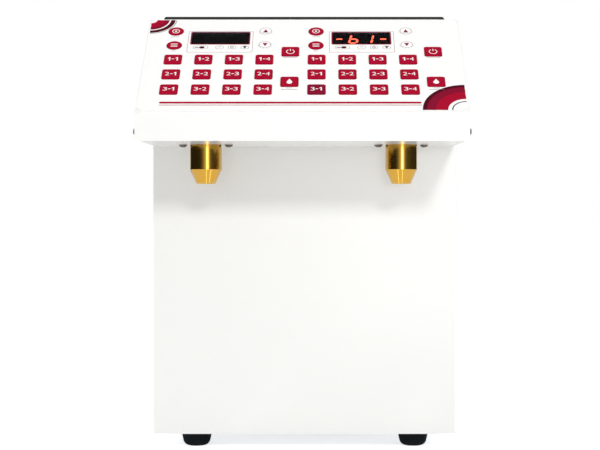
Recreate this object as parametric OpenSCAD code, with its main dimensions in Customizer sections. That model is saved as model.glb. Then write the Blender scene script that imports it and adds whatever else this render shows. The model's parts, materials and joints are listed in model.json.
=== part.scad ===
// Twin-head fructose dispenser: a white sheet-steel casing with an overhanging head.
// The front faces -Y, +X is to the viewer's right, and Z = 0 is the worktop.

/* [Casing] */
// Width of the casing
body_w = 330; // [326:1:340]
// Depth of the casing behind the cup bay
body_depth = 258; // [256:1:268]
// How far the head stands out over the cup bay
overhang = 167; // [164:1:172]
// Height of the head's underside above the worktop
head_z = 332; // [330:0.5:345]
// Height of the vertical lip at the front of the head
lip_h = 28; // [26:1:32]
// Height that the control face rises over
panel_rise = 107; // [105:1:112]
// Depth that the control face rises over
panel_run = 135; // [133:1:138]
// Thickness of the casing sheet
sheet_t = 1.5; // [1.2:0.1:1.8]
// Outer radius of the bend along the head's lower edges
edge_r = 5.5; // [4:0.5:7]

/* [Feet] */
// Height of a rubber foot
foot_h = 18.5; // [16:0.5:24]
// Diameter of a foot where it meets the base
foot_d = 36; // [30:1:40]
// Distance of a foot's centre from the middle plane
foot_x = 121; // [110:1:125]
// Distance of a foot's centre from the body's front or rear face
foot_inset = 43; // [36:1:48]

/* [Control panel] */
// Thickness of the printed laminate
film_t = 1.2; // [1:0.1:1.4]
// Width of a numbered key
key_w = 18.2; // [16:0.1:19]
// Height of a numbered key
key_h = 18.2; // [16:0.1:18.6]
// Sideways pitch of the numbered keys
key_pitch_x = 31.4; // [31:0.1:31.8]
// Pitch of the key rows up the slope
key_pitch_s = 27.4; // [27:0.1:27.8]
// Travel of a key
key_travel = 0.5; // [0.3:0.1:0.6]
// Width of a display window
window_w = 60; // [59:0.5:62]
// Height of a display window
window_h = 22.2; // [21.5:0.1:25]

/* [Nozzles] */
// Diameter of a nozzle's straight part
nozzle_d = 33.5; // [28:0.5:34]
// Distance between the two nozzle axes
nozzle_spacing = 205; // [200:1:210]
// Distance of the nozzle axes behind the lip
nozzle_setback = 102; // [98:1:106]
// Length of the straight part below the head
nozzle_straight = 26; // [22:0.5:28]
// Length of the cone below it
nozzle_cone = 15; // [12:0.5:18]
// Diameter of the outlet hole
outlet_d = 12; // [10:1:13]

/* [Lid] */
// Width of the lid
lid_w = 303; // [300:1:306]
// Depth of the lid
lid_depth = 262; // [260:1:263]
// Height that the lid stands above the deck
lid_rise = 4.6; // [4.4:0.1:5.2]

/* [Tanks] */
// Outside width of a tank
tank_w = 136; // [130:1:137]
// Outside depth of a tank
tank_depth = 196; // [190:1:197]
// Height of the tank's floor above the worktop
tank_floor_z = 175; // [172:1:185]
// Thickness of the tank sheet
tank_t = 1.2; // [1:0.1:1.5]

/* [Pumps] */
// Height of the pump axes above the worktop
pump_z = 95; // [92:1:98]
// Outside radius of a pump body
pump_r = 30; // [28:1:32]
// Radius of the pump chamber
chamber_r = 22.3; // [21.8:0.1:23]
// Number of vanes on a pump rotor
vane_count = 6; // [5:1:7]

/* [Hidden] */
$fn = 64;

// --- sides and keys ------------------------------------------------------------------------
SIDES = [["left", -1], ["right", 1]];
DOSE_KEYS = [for (row = [1:3], col = [1:4]) [str(row, "_", col), "dose", row, col]];
OTHER_KEYS = [
    ["set", "round"], ["mode", "round"], ["up", "arrow"], ["down", "arrow"],
    ["power", "command"], ["pump", "command"]
];
KEYS = concat(DOSE_KEYS, OTHER_KEYS);
function key_node(side, key) = str(side[0], "_key_", key[0]);

FIXED_NODES = [
    "casing", "base_plate", "rear_panel", "top_deck", "head_cover", "membrane_panel",
    "display_windows", "display_modules", "control_boards", "tanks", "tank_heaters",
    "pump_bodies", "pump_motors", "hoses", "hose_clips", "nozzles", "power_supply",
    "power_inlet", "screws", "feet"
];
MOVING_NODES = ["lid", "rocker_switch", "left_pump_rotor", "right_pump_rotor"];

// --- places worked out from the driving dimensions ----------------------------------------------
rear_proud = 5;                                  // what stands out behind the rear panel
front_y = -(overhang + body_depth + rear_proud) / 2;
body_y = front_y + overhang;
rear_y = body_y + body_depth;
fold_z = head_z + lip_h;
top_z = fold_z + panel_rise;
panel_top_y = front_y + panel_run;
slope = atan2(panel_rise, panel_run);
slope_length = norm([panel_rise, panel_run]);
wall_top = top_z - sheet_t;
inner_w = body_w - 2 * sheet_t;
inner_y = body_y + sheet_t;
big = 400;

fit_gap = 0.3;                                   // between pieces that move past each other
running_gap = 0.05;                              // between a shaft and its hole, on the radius
seat_gap = 0.1;                                  // between curved pieces that only sit together

module_x = 74;                                   // each half's middle, from the middle plane
module_axis_y = 27;                              // the tank outlet and the pump inlet below it

// the head's side outline at a depth d under its sloped and vertical faces, and e under its floor
function head_outline(d, e, back) = [
    [front_y + d, head_z + e],
    [front_y + d, fold_z - d * (1 - sin(slope)) / cos(slope)],
    [panel_top_y + d * tan(slope / 2), top_z - d],
    [back, top_z - d],
    [back, head_z + e]
];

// --- shapes used more than once ----------------------------------------------------------
module rounded_rect(w, h, r) {
    square([w - 2 * r, h], center = true);
    square([w, h - 2 * r], center = true);
    for (sx = [-1, 1], sy = [-1, 1])
        translate([sx * (w / 2 - r), sy * (h / 2 - r)]) circle(r);
}

// a section in X and Z whose lower corners are round, standing on z = 0
module round_bottom(w, h, r) {
    translate([-w / 2, r]) square([w, h - r]);
    translate([-w / 2 + r, 0]) square([w - 2 * r, h]);
    for (sx = [-1, 1]) translate([sx * (w / 2 - r), r]) circle(r);
}

module along_x(x0, x1) {
    translate([x0, 0, 0]) rotate([90, 0, 90]) linear_extrude(x1 - x0) children();
}

module along_y(y0, y1) {
    translate([0, y1, 0]) rotate([90, 0, 0]) linear_extrude(y1 - y0) children();
}

// a box from its lowest corner to its highest one
module block(low, high) {
    translate(low) cube(high - low);
}

module both_sides() {
    for (side = SIDES) translate([side[1] * module_x, 0, 0]) children();
}

// the control face: x across, y up the slope from the fold, z out of the face
module on_slope() {
    translate([0, front_y, fold_z]) rotate([slope, 0, 0]) children();
}

// a block of width w that stands inward from a side wall's inner face and reaches bite into the wall
module wall_block(side, w, bite, y, z) {
    x = [inner_w / 2 - w, inner_w / 2 + bite];
    block([side > 0 ? x[0] : -x[1], y[0], z[0]], [side > 0 ? x[1] : -x[0], y[1], z[1]]);
}

module tube_ring(r_out, r_in, h) {
    difference() {
        cylinder(r = r_out, h = h);
        translate([0, 0, -1]) cylinder(r = r_in, h = h + 2);
    }
}

// --- casing ------------------------------------------------------------------------------
rear_flange = 12;
deck_flange = 9;
flange_bite = 0.5;
screw_hole_r = 1.6;
nozzle_screw_hole_r = 2.1;
side_screw_y = front_y + 9;
side_screw_z = head_z + 9.5;
nozzle_y = front_y + nozzle_setback;
nozzle_screw_dx = 24;
rear_screw_zs = [60, 190, 320, 440];
rear_screw_x = inner_w / 2 - rear_flange / 2;

module casing_shell() {
    difference() {
        union() {
            block([-body_w / 2, body_y, foot_h], [body_w / 2, rear_y, wall_top]);
            intersection() {
                along_x(-body_w / 2, body_w / 2) polygon(head_outline(sheet_t, 0, body_y + 1));
                along_y(front_y, body_y + 1)
                    translate([0, head_z]) round_bottom(body_w, big, edge_r);
            }
        }
        block([-inner_w / 2, inner_y, foot_h - 1], [inner_w / 2, rear_y + 1, wall_top + 1]);
        along_y(front_y - 1, inner_y + 1)
            translate([0, head_z + sheet_t]) round_bottom(inner_w, big, edge_r - sheet_t);
    }
}

module casing() {
    color("whitesmoke") difference() {
        union() {
            casing_shell();
            for (sx = [-1, 1]) {
                // flange that the rear panel is screwed to
                wall_block(sx, rear_flange, flange_bite,
                           [rear_y - 2 * sheet_t, rear_y - sheet_t], [foot_h + 20, wall_top - 10]);
                // flange that the deck lies on
                wall_block(sx, deck_flange, flange_bite,
                           [body_y, rear_y - 20], [wall_top - sheet_t, wall_top]);
            }
        }
        for (sx = [-1, 1]) {
            translate([sx * nozzle_spacing / 2, nozzle_y, head_z - 1]) {
                cylinder(d = nozzle_d + 2 * seat_gap, h = 10);
                for (dx = [-1, 1])
                    translate([dx * nozzle_screw_dx, 0, 0]) cylinder(r = nozzle_screw_hole_r, h = 10);
            }
            translate([sx * (body_w / 2 - 5), side_screw_y, side_screw_z])
                rotate([0, 90, 0]) cylinder(r = screw_hole_r, h = 20, center = true);
            for (z = rear_screw_zs) translate([sx * rear_screw_x, rear_y + 1, z])
                rotate([90, 0, 0]) cylinder(r = screw_hole_r, h = 8);
        }
    }
}

// --- base plate ----------------------------------------------------------------------------
base_t = 2;
base_flange = 14;
base_top = foot_h + base_t;
foot_ys = [body_y + foot_inset, rear_y - foot_inset];
foot_hole_r = 2.6;
air_slots = [-4:4];
air_slot_pitch = 14;
air_slot_w = 4;
air_slot_y = [60, 110];

module base_plate() {
    low = [-inner_w / 2, inner_y, foot_h];
    high = [inner_w / 2, rear_y - 2 * sheet_t, base_top + base_flange];
    color("silver") difference() {
        block(low, high);
        block([low[0] + base_t, low[1] + base_t, base_top],
              [high[0] - base_t, high[1] - base_t, high[2] + 1]);
        for (sx = [-1, 1], y = foot_ys)
            translate([sx * foot_x, y, foot_h - 1]) cylinder(r = foot_hole_r, h = 6);
        for (i = air_slots) translate([i * air_slot_pitch, 0, 0])
            block([-air_slot_w / 2, air_slot_y[0], foot_h - 1],
                  [air_slot_w / 2, air_slot_y[1], base_top + 1]);
    }
}

// --- rear panel ----------------------------------------------------------------------------
inlet_x = 105;
inlet_z = 75;
inlet_w = 27;
inlet_h = 47;
louvre_x = 60;
louvre_z = 150;
louvre_w = 62;
louvre_h = 4;
louvre_pitch = 12;
louvre_count = 8;

module rear_panel() {
    color("whitesmoke") difference() {
        block([-inner_w / 2, rear_y - sheet_t, foot_h], [inner_w / 2, rear_y, wall_top]);
        block([inlet_x - inlet_w / 2 - seat_gap, rear_y - 5, inlet_z - inlet_h / 2 - seat_gap],
              [inlet_x + inlet_w / 2 + seat_gap, rear_y + 1, inlet_z + inlet_h / 2 + seat_gap]);
        for (sx = [-1, 1], i = [0:louvre_count - 1])
            translate([sx * louvre_x - louvre_w / 2, rear_y - 5, louvre_z + i * louvre_pitch])
                cube([louvre_w, 6, louvre_h]);
        for (sx = [-1, 1], z = rear_screw_zs) translate([sx * rear_screw_x, rear_y + 1, z])
            rotate([90, 0, 0]) cylinder(r = screw_hole_r, h = 8);
    }
}

// --- top deck with the lid's hinge ears ----------------------------------------------------------
tank_y = 80;
lid_front_y = panel_top_y + 8;
lid_rear_y = lid_front_y + lid_depth;
hinge_y = lid_rear_y + 8;
hinge_z = top_z + 5;
hinge_x = 130;
ear_r = 5;
ear_t = 4;
pin_r = 2.5;
knuckle_w = 9;

module hinge_ear() {
    difference() {
        union() {
            rotate([0, 90, 0]) cylinder(r = ear_r, h = ear_t, center = true);
            block([-ear_t / 2, -ear_r, top_z - hinge_z - 0.5], [ear_t / 2, ear_r, 0]);
        }
        rotate([0, 90, 0]) cylinder(r = pin_r + running_gap, h = ear_t + 2, center = true);
    }
}

module top_deck() {
    ear_x = knuckle_w / 2 + fit_gap + ear_t / 2;
    color("whitesmoke") {
        difference() {
            along_x(-body_w / 2, body_w / 2) polygon([
                [panel_top_y + seat_gap, top_z],
                [panel_top_y + seat_gap + sheet_t * tan(slope / 2), wall_top],
                [rear_y, wall_top], [rear_y, top_z]
            ]);
            both_sides() translate([0, tank_y, wall_top - 1])
                linear_extrude(sheet_t + 2) rounded_rect(tank_w + 1, tank_depth + 1, tank_r + 0.5);
        }
        for (sx = [-1, 1], dx = [-1, 1])
            translate([sx * hinge_x + dx * ear_x, hinge_y, hinge_z]) hinge_ear();
    }
}

// --- lid ---------------------------------------------------------------------------------
lid_skin = 2.2;
lid_rim = 2.5;
lid_r = 6;
lid_bevel = 2.4;                                 // along the upper edge, on all four sides
lid_low = top_z + fit_gap;
lid_top = top_z + lid_rise;
lid_y = (lid_front_y + lid_rear_y) / 2;
knuckle_r = 4.2;
web_overlap = 2;                                 // how far the hinge webs reach over the lid's skin

// the lid's section from a rim at u0 to one at u1: upright at the rims and bevelled above them
function bevelled_section(u0, u1) = let(shoulder = lid_top - lid_bevel) [
    [u0, lid_low], [u1, lid_low], [u1, shoulder], [u1 - lid_bevel, lid_top],
    [u0 + lid_bevel, lid_top], [u0, shoulder]
];

module bevelled_plate() {
    intersection() {
        along_y(lid_front_y - 1, lid_rear_y + 1) polygon(bevelled_section(-lid_w / 2, lid_w / 2));
        along_x(-lid_w, lid_w) polygon(bevelled_section(lid_front_y, lid_rear_y));
        translate([0, lid_y, lid_low - 1]) linear_extrude(10) rounded_rect(lid_w, lid_depth, lid_r);
    }
}

module lid() {
    color("#202422") {
        difference() {
            bevelled_plate();
            translate([0, lid_y, lid_low - 1]) linear_extrude(lid_top - lid_skin - lid_low + 1)
                rounded_rect(lid_w - 2 * lid_rim, lid_depth - 2 * lid_rim, lid_r - 2);
        }
        for (sx = [-1, 1]) translate([sx * hinge_x, hinge_y, hinge_z]) {
            // knuckle, the web that joins it to the lid, and the pin
            rotate([0, 90, 0]) cylinder(r = knuckle_r, h = knuckle_w, center = true);
            block([-knuckle_w / 2, lid_rear_y - lid_bevel - web_overlap - hinge_y,
                   lid_top - lid_skin - hinge_z + 0.5], [knuckle_w / 2, 0, 2]);
            rotate([0, 90, 0])
                cylinder(r = pin_r, h = knuckle_w + 2 * (fit_gap + ear_t) - 0.4, center = true);
        }
    }
}

// --- head cover with the lip and the slope ------------------------------------------------------
display_s = 134;
display_dx = -13.4;
cable_slot = [24, 3];
cable_slot_s = 14;
tab_depth = 15;
tab_h = 15;

module display_opening() {
    translate([display_dx, display_s, 0])
        cube([window_w + 2 * seat_gap, window_h + 2 * seat_gap, 8], center = true);
}

module head_cover() {
    color("whitesmoke") difference() {
        union() {
            intersection() {
                along_x(-body_w / 2, body_w / 2) polygon(concat(
                    [for (i = [0:2]) head_outline(0, 0, 0)[i]],
                    [for (i = [2:-1:0]) head_outline(sheet_t, 0, 0)[i]]
                ));
                along_y(front_y, body_y) translate([0, head_z]) round_bottom(body_w, big, edge_r);
            }
            // tabs inside the casing's cheeks, for the side screws
            for (sx = [-1, 1]) wall_block(sx, sheet_t, 0, [front_y + 0.5, front_y + tab_depth],
                                          [head_z + edge_r, head_z + edge_r + tab_h]);
        }
        both_sides() on_slope() {
            display_opening();
            // slot for the panel's flat cable
            translate([0, cable_slot_s, 0]) cube([cable_slot[0], cable_slot[1], 8], center = true);
        }
        for (sx = [-1, 1]) translate([sx * (body_w / 2 - 5), side_screw_y, side_screw_z])
            rotate([0, 90, 0]) cylinder(r = screw_hole_r, h = 20, center = true);
    }
}

// --- control panel -------------------------------------------------------------------------
film_margin = 1.2;
film_r = 9;
key_r = 2.2;
dose_x = -60.2;
dose_s = 92.8;
round_key_d = 16;
arrow_key_d = 13.6;
key_top = 0.5;                                   // how far a key stands out of the laminate
key_clear = 0.1;                                 // what is left under a key at the end of its travel
key_bevel = 0.6;                                 // how much smaller a key's upper step is, all round

// a key's place on its own half of the face
function key_place(key) =
    key[1] == "dose" ? [dose_x + (key[3] - 1) * key_pitch_x, dose_s - (key[2] - 1) * key_pitch_s] :
    key[0] == "set" ? [-61, 147] :
    key[0] == "mode" ? [-61, 119.7] :
    key[0] == "up" ? [33.8, 147.6] :
    key[0] == "down" ? [33.8, 120.8] :
    key[0] == "power" ? [60.5, 107.7] : [60.5, 51.9];

module key_outline(key, grow) {
    if (key[1] == "round") circle(d = round_key_d + 2 * grow);
    else if (key[1] == "arrow") circle(d = arrow_key_d + 2 * grow);
    else rounded_rect(key_w + 2 * grow, key_h + 2 * grow, key_r + grow);
}

module membrane_panel() {
    film_s = slope_length - 2 * film_margin;
    color("ivory") on_slope() difference() {
        translate([0, film_margin + film_s / 2, 0])
            linear_extrude(film_t) rounded_rect(body_w - 2 * film_margin, film_s, film_r);
        both_sides() {
            display_opening();
            for (key = KEYS) translate(concat(key_place(key), -1))
                linear_extrude(film_t + 2) key_outline(key, fit_gap);
        }
    }
}

module key_cap(side, key) {
    low = key_travel + key_clear;
    step = film_t + key_top / 2;
    color(key[1] == "arrow" ? "ivory" : "crimson") translate([side[1] * module_x, 0, 0]) on_slope()
        translate(concat(key_place(key), low)) {
            linear_extrude(step - low) key_outline(key, 0);
            linear_extrude(film_t + key_top - low) key_outline(key, -key_bevel);
        }
}

module display_windows() {
    color([0.08, 0.08, 0.09]) on_slope() both_sides()
        translate([display_dx, display_s, -sheet_t])
            linear_extrude(sheet_t + film_t) rounded_rect(window_w, window_h, 1);
}

// --- electronics ---------------------------------------------------------------------------
led_w = 62;
led_h = 25;
led_depth = 8;
led_gap = 0.5;
led_ds = -0.6;                                   // the module's middle from the window's, up the slope
digit_ds = -1.2;                                 // the same for the digits
digit_pitch = 15.4;
digit_face = [14.4, 23, 0.8];
board_w = 140;
board_s0 = 18;
board_s1 = 158;
board_t = 1.6;
board_n = -sheet_t - led_gap - led_depth - 0.1 - board_t;

module display_modules() {
    color("dimgray") on_slope() both_sides()
        translate([display_dx, display_s, -sheet_t - led_gap - led_depth]) {
            translate([-led_w / 2, led_ds - led_h / 2, 0]) cube([led_w, led_h, led_depth - 0.4]);
            for (i = [-1.5:1.5])
                translate([i * digit_pitch - digit_face[0] / 2, digit_ds - digit_face[1] / 2,
                           led_depth - digit_face[2]]) cube(digit_face);
        }
}

module control_boards() {
    middle_s = (board_s0 + board_s1) / 2;
    color("seagreen") on_slope() both_sides() {
        translate([-board_w / 2, board_s0, board_n]) cube([board_w, board_s1 - board_s0, board_t]);
        // standoffs up to the head cover
        for (dx = [-64, 64], s = [board_s0 + 6, board_s1 - 6]) translate([dx, s, board_n + board_t - 0.2])
            cylinder(r = 3, h = -sheet_t - board_n - board_t + 0.2);
        // controller, driver stages, relay, buzzer and plug headers on the back
        translate([-10, middle_s - 10, board_n - 2]) cube([20, 20, 2.2]);
        for (i = [0:3]) translate([-56 + i * 16, middle_s + 22, board_n - 5]) cube([10, 15, 5.2]);
        translate([30, middle_s - 42, board_n - 12]) cube([20, 16, 12.2]);
        translate([-44, middle_s - 30, board_n - 7]) cylinder(r = 6, h = 7.2);
        for (i = [0:2]) translate([-20 + i * 20, board_s0 + 6, board_n - 8]) cube([14, 7, 8.2]);
    }
}

module power_supply() {
    low = [-80, 130, base_top];
    high = [80, rear_y - 20, base_top + 38];
    color("silver") {
        difference() {
            block(low, high);
            for (i = [0:11])
                block([-70 + i * 11, low[1] + 12, high[2] - 1.2], [-65 + i * 11, high[1] - 12, high[2] + 1]);
        }
        // terminal block
        block([-60, low[1] - 12, base_top], [60, low[1], base_top + 16]);
    }
}

// --- mains inlet and its rocker switch --------------------------------------------------------
bezel_t = 1.4;
bezel_rim = 2.5;
inlet_depth = 26;
socket_w = 24;
socket_h = 16;
socket_depth = 15;
socket_z = inlet_z - 11;
socket_floor_y = rear_y + bezel_t - socket_depth;
// the blades' places in the socket: across, and up to the blade's lower end
BLADES = [[-7, -3.5], [0, 0.5], [7, -3.5]];
blade = [2, socket_depth - 2, 4];
lug = [6, 8.5, 0.8];
LUG_ZS = [-14, -4, 6, 16];
rocker_z = inlet_z + 11;
rocker_y = rear_y - 2.4;
rocker_r = 9.2;
rocker_w = 13;
rocker_pin_r = 1.5;
rocker_tilt = 11;
rocker_dish = 2.5;                               // from the pivot to the middle of the rocker's face

module power_inlet() {
    color("#1c1e1e") {
        difference() {
            union() {
                block([inlet_x - inlet_w / 2, rear_y - inlet_depth, inlet_z - inlet_h / 2],
                      [inlet_x + inlet_w / 2, rear_y + 0.5, inlet_z + inlet_h / 2]);
                along_y(rear_y, rear_y + bezel_t) translate([inlet_x, inlet_z])
                    rounded_rect(inlet_w + 2 * bezel_rim, inlet_h + 2 * bezel_rim, 3);
            }
            block([inlet_x - socket_w / 2, socket_floor_y, socket_z - socket_h / 2],
                  [inlet_x + socket_w / 2, rear_y + 5, socket_z + socket_h / 2]);
            // well for the rocker, with its pivot holes
            translate([inlet_x, rocker_y, rocker_z]) rotate([0, 90, 0]) {
                cylinder(r = rocker_r + fit_gap, h = rocker_w + 2 * fit_gap, center = true);
                cylinder(r = rocker_pin_r + running_gap, h = rocker_w + 6, center = true);
            }
        }
        for (at = BLADES)
            translate([inlet_x + at[0] - blade[0] / 2, socket_floor_y - 0.5, socket_z + at[1]]) cube(blade);
        // solder lugs on the back
        for (dz = LUG_ZS)
            translate([inlet_x - lug[0] / 2, rear_y - inlet_depth + 0.5 - lug[1], inlet_z + dz - lug[2] / 2])
                cube(lug);
    }
}

// the rocker is a drum on its pivot whose face is a shallow V; at rest its lower half is pressed in
module rocker_switch() {
    rise = rocker_r * tan(rocker_tilt);
    color("#1c1e1e") translate([inlet_x, rocker_y, rocker_z]) rotate([-rocker_tilt, 0, 0]) {
        intersection() {
            rotate([0, 90, 0]) cylinder(r = rocker_r, h = rocker_w, center = true);
            along_x(-rocker_w / 2, rocker_w / 2) polygon([
                [-6, -rocker_r], [rocker_dish + rise, -rocker_r], [rocker_dish, 0],
                [rocker_dish + rise, rocker_r], [-6, rocker_r]
            ]);
        }
        rotate([0, 90, 0]) cylinder(r = rocker_pin_r, h = rocker_w + 5, center = true);
    }
}

// --- tanks -------------------------------------------------------------------------------
tank_r = 12;
flange_w = 4.8;
flange_t = 0.8;
heater_t = 2;
heater_h = 55;
heater_z = tank_floor_z + 10;
port_r = 8;
port_bore_r = 5;
port_len = 12;

module tank() {
    difference() {
        union() {
            translate([0, tank_y, tank_floor_z]) linear_extrude(top_z + flange_t - tank_floor_z)
                rounded_rect(tank_w, tank_depth, tank_r);
            translate([0, tank_y, top_z]) linear_extrude(flange_t)
                rounded_rect(tank_w + 2 * flange_w, tank_depth + 2 * flange_w, tank_r + 3);
            translate([0, module_axis_y, tank_floor_z - port_len]) cylinder(r = port_r, h = port_len + 0.5);
        }
        translate([0, tank_y, tank_floor_z + tank_t]) linear_extrude(big)
            rounded_rect(tank_w - 2 * tank_t, tank_depth - 2 * tank_t, tank_r - tank_t);
        translate([0, module_axis_y, tank_floor_z - port_len - 1])
            cylinder(r = port_bore_r, h = port_len + 5);
    }
}

module tanks() {
    color("lightsteelblue") both_sides() tank();
}

module tank_heaters() {
    color("orangered") both_sides() translate([0, tank_y, heater_z]) linear_extrude(heater_h) difference() {
        rounded_rect(tank_w + 2 * heater_t, tank_depth + 2 * heater_t, tank_r + heater_t);
        rounded_rect(tank_w + 2 * seat_gap, tank_depth + 2 * seat_gap, tank_r + seat_gap);
    }
}

// --- pumps -------------------------------------------------------------------------------
pump_y0 = 8;
pump_y1 = 44;
chamber_y0 = 14;
chamber_y1 = 36;
shaft_r = 3;
inlet_port_top = 138;
hose_port_r = 4;
hose_port_bore_r = 2.5;
outlet_z = pump_z - 15;
rotor_hub_r = 9;
vane_t = 2.2;
vane_tip_r = 1.8;
gearbox_r = 20;
gearbox_y1 = 68;
motor_r = 17.5;
motor_y1 = 118;
motor_shaft_y = 56;

module pump_body() {
    difference() {
        union() {
            translate([0, pump_y1, pump_z]) rotate([90, 0, 0]) cylinder(r = pump_r, h = pump_y1 - pump_y0);
            translate([0, module_axis_y, pump_z + 10]) cylinder(r = port_r, h = inlet_port_top - pump_z - 10);
            translate([0, pump_y0 + 1, outlet_z]) rotate([90, 0, 0]) cylinder(r = hose_port_r, h = 13);
            block([-20, pump_y0 + 2, base_top], [20, pump_y1 - 2, pump_z - 12]);
        }
        translate([0, chamber_y1, pump_z]) rotate([90, 0, 0])
            cylinder(r = chamber_r, h = chamber_y1 - chamber_y0);
        translate([0, pump_y1 + 1, pump_z]) rotate([90, 0, 0]) cylinder(r = shaft_r + running_gap, h = 15);
        translate([0, module_axis_y, pump_z + 10]) cylinder(r = port_bore_r, h = 60);
        translate([0, chamber_y0 + 1, outlet_z]) rotate([90, 0, 0]) cylinder(r = hose_port_bore_r, h = 30);
    }
}

module pump_bodies() {
    color("gainsboro") both_sides() pump_body();
}

module pump_rotor(side) {
    tip_x = chamber_r - 0.4 - vane_tip_r;
    vane_len = chamber_y1 - chamber_y0 - 2 * fit_gap;
    shaft_len = motor_shaft_y - chamber_y1 + fit_gap;
    color("darkslategray")
        translate([side[1] * module_x, chamber_y1 - fit_gap, pump_z]) rotate([90, 0, 0]) {
            cylinder(r = rotor_hub_r, h = vane_len);
            for (i = [0:vane_count - 1]) rotate([0, 0, i * 360 / vane_count]) {
                translate([rotor_hub_r - 1, -vane_t / 2, 0])
                    cube([tip_x - rotor_hub_r + 1, vane_t, vane_len]);
                translate([tip_x, 0, 0]) cylinder(r = vane_tip_r, h = vane_len);
            }
            translate([0, 0, -shaft_len]) cylinder(r = shaft_r, h = shaft_len + 1);
        }
}

module pump_motor() {
    difference() {
        union() {
            translate([0, gearbox_y1, pump_z]) rotate([90, 0, 0])
                cylinder(r = gearbox_r, h = gearbox_y1 - pump_y1);
            translate([0, motor_y1, pump_z]) rotate([90, 0, 0])
                cylinder(r = motor_r, h = motor_y1 - gearbox_y1 + 1);
            // rear bearing boss and the two terminals
            translate([0, motor_y1 + 4, pump_z]) rotate([90, 0, 0]) cylinder(r = 6, h = 5);
            for (dz = [-9, 9])
                block([-2.5, motor_y1 - 1, pump_z + dz - 0.4], [2.5, motor_y1 + 9, pump_z + dz + 0.4]);
        }
        translate([0, motor_shaft_y + 1, pump_z]) rotate([90, 0, 0])
            cylinder(r = shaft_r + running_gap, h = 20);
    }
}

module pump_motors() {
    color("slategray") both_sides() pump_motor();
}

// --- hoses -------------------------------------------------------------------------------
hose_r = 6;
hose_bend_r = 20;
hose_sides = 12;
hose_start_y = pump_y0 - 4;
hose_straight = 16;
rise_y = hose_start_y - hose_straight - hose_bend_r;   // upright stretch between front wall and tank
nozzle_barb_top = 373;
nozzle_barb_r = 4;
head_run_z = nozzle_barb_top + 6 + hose_bend_r;
run_dx = nozzle_spacing / 2 - module_x;
run_dy = rise_y - nozzle_y;
run_length = norm([run_dx, run_dy]);
run_turn = atan2(run_dx, run_dy);

// a station on the hose: how far forward from a base point in the vertical plane turned from the
// front by turn, how high, and the pitch of the hose there
function station(base, turn, f, z, pitch) = [base + [f * sin(turn), -f * cos(turn), z], turn, pitch];
function ring_point(st, r, phi) = st[0] + r * (cos(phi) * [cos(st[1]), sin(st[1]), 0]
    + sin(phi) * [-sin(st[2]) * sin(st[1]), sin(st[2]) * cos(st[1]), cos(st[2])]);

// out of the pump, up behind the front wall, over inside the head, and down to the nozzle
HOSE_STATIONS = let(pump = [0, hose_start_y, outlet_z], top = [0, rise_y, 0], R = hose_bend_r) concat(
    [station(pump, 0, 0, 0, 0)],
    [for (a = [0:15:90]) station(pump, 0, hose_straight + R * sin(a), R * (1 - cos(a)), a)],
    [for (a = [0:15:90]) station(top, run_turn, R * (1 - cos(a)), head_run_z - R + R * sin(a), 90 - a)],
    [for (a = [0:15:90])
        station(top, run_turn, run_length - R + R * sin(a), head_run_z - R * (1 - cos(a)), -a)],
    [station(top, run_turn, run_length, nozzle_barb_top - 14, -90)]
);

module delivery_hose() {
    n = hose_sides;
    count = len(HOSE_STATIONS);
    inner = count * n;                                 // index of the bore's first point
    points = [for (r = [hose_r, nozzle_barb_r + 0.2], st = HOSE_STATIONS, k = [0:n - 1])
        ring_point(st, r, 360 * k / n)];
    walls = [for (i = [0:count - 2], k = [0:n - 1]) let(a = i * n + k, b = i * n + (k + 1) % n)
        each [[a, a + n, b + n], [a, b + n, b],
              [inner + a, inner + b + n, inner + a + n], [inner + a, inner + b, inner + b + n]]];
    last = (count - 1) * n;
    ends = [for (k = [0:n - 1]) let(b = (k + 1) % n)
        each [[k, b, inner + b], [k, inner + b, inner + k],
              [last + k, inner + last + b, last + b], [last + k, inner + last + k, inner + last + b]]];
    polyhedron(points, concat(walls, ends));
}

module hoses() {
    color("lightgray") for (side = SIDES) translate([side[1] * module_x, 0, 0]) {
        mirror([side[1] < 0 ? 1 : 0, 0, 0]) delivery_hose();
        // short wide hose from the tank down to the pump
        translate([0, module_axis_y, inlet_port_top - 12])
            tube_ring(port_r + 2.5, port_r + running_gap, tank_floor_z - 2 - inlet_port_top + 12);
    }
}

// --- nozzles -----------------------------------------------------------------------------
nozzle_tip_z = head_z - nozzle_straight - nozzle_cone;
nozzle_tip_d = 20;
nozzle_flange_t = 4;
nozzle_flange_r = 19;
nozzle_bore_top = head_z - 3;                    // where the wide outlet bore ends
nozzle_seat = head_z + sheet_t;

module nozzle() {
    difference() {
        union() {
            translate([0, 0, nozzle_tip_z]) cylinder(d1 = nozzle_tip_d, d2 = nozzle_d, h = nozzle_cone);
            translate([0, 0, head_z - nozzle_straight])
                cylinder(d = nozzle_d, h = nozzle_straight + sheet_t + 1);
            // flange inside the head, drilled for its two screws
            translate([0, 0, nozzle_seat]) linear_extrude(nozzle_flange_t) {
                square([2 * nozzle_screw_dx, 18], center = true);
                for (dx = [-1, 1]) translate([dx * nozzle_screw_dx, 0]) circle(9);
                circle(nozzle_flange_r);
            }
            translate([0, 0, nozzle_seat]) cylinder(r = 9, h = 16);
            translate([0, 0, nozzle_seat]) cylinder(r = nozzle_barb_r, h = nozzle_barb_top - nozzle_seat);
        }
        translate([0, 0, nozzle_tip_z - 1]) cylinder(d = outlet_d, h = nozzle_bore_top - nozzle_tip_z + 1);
        translate([0, 0, nozzle_tip_z - 1]) cylinder(r = hose_port_bore_r, h = 200);
        for (dx = [-1, 1]) translate([dx * nozzle_screw_dx, 0, nozzle_seat - 1]) cylinder(r = 2.05, h = 10);
    }
}

module nozzles() {
    color("goldenrod") for (side = SIDES) translate([side[1] * nozzle_spacing / 2, nozzle_y, 0]) nozzle();
}

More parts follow.
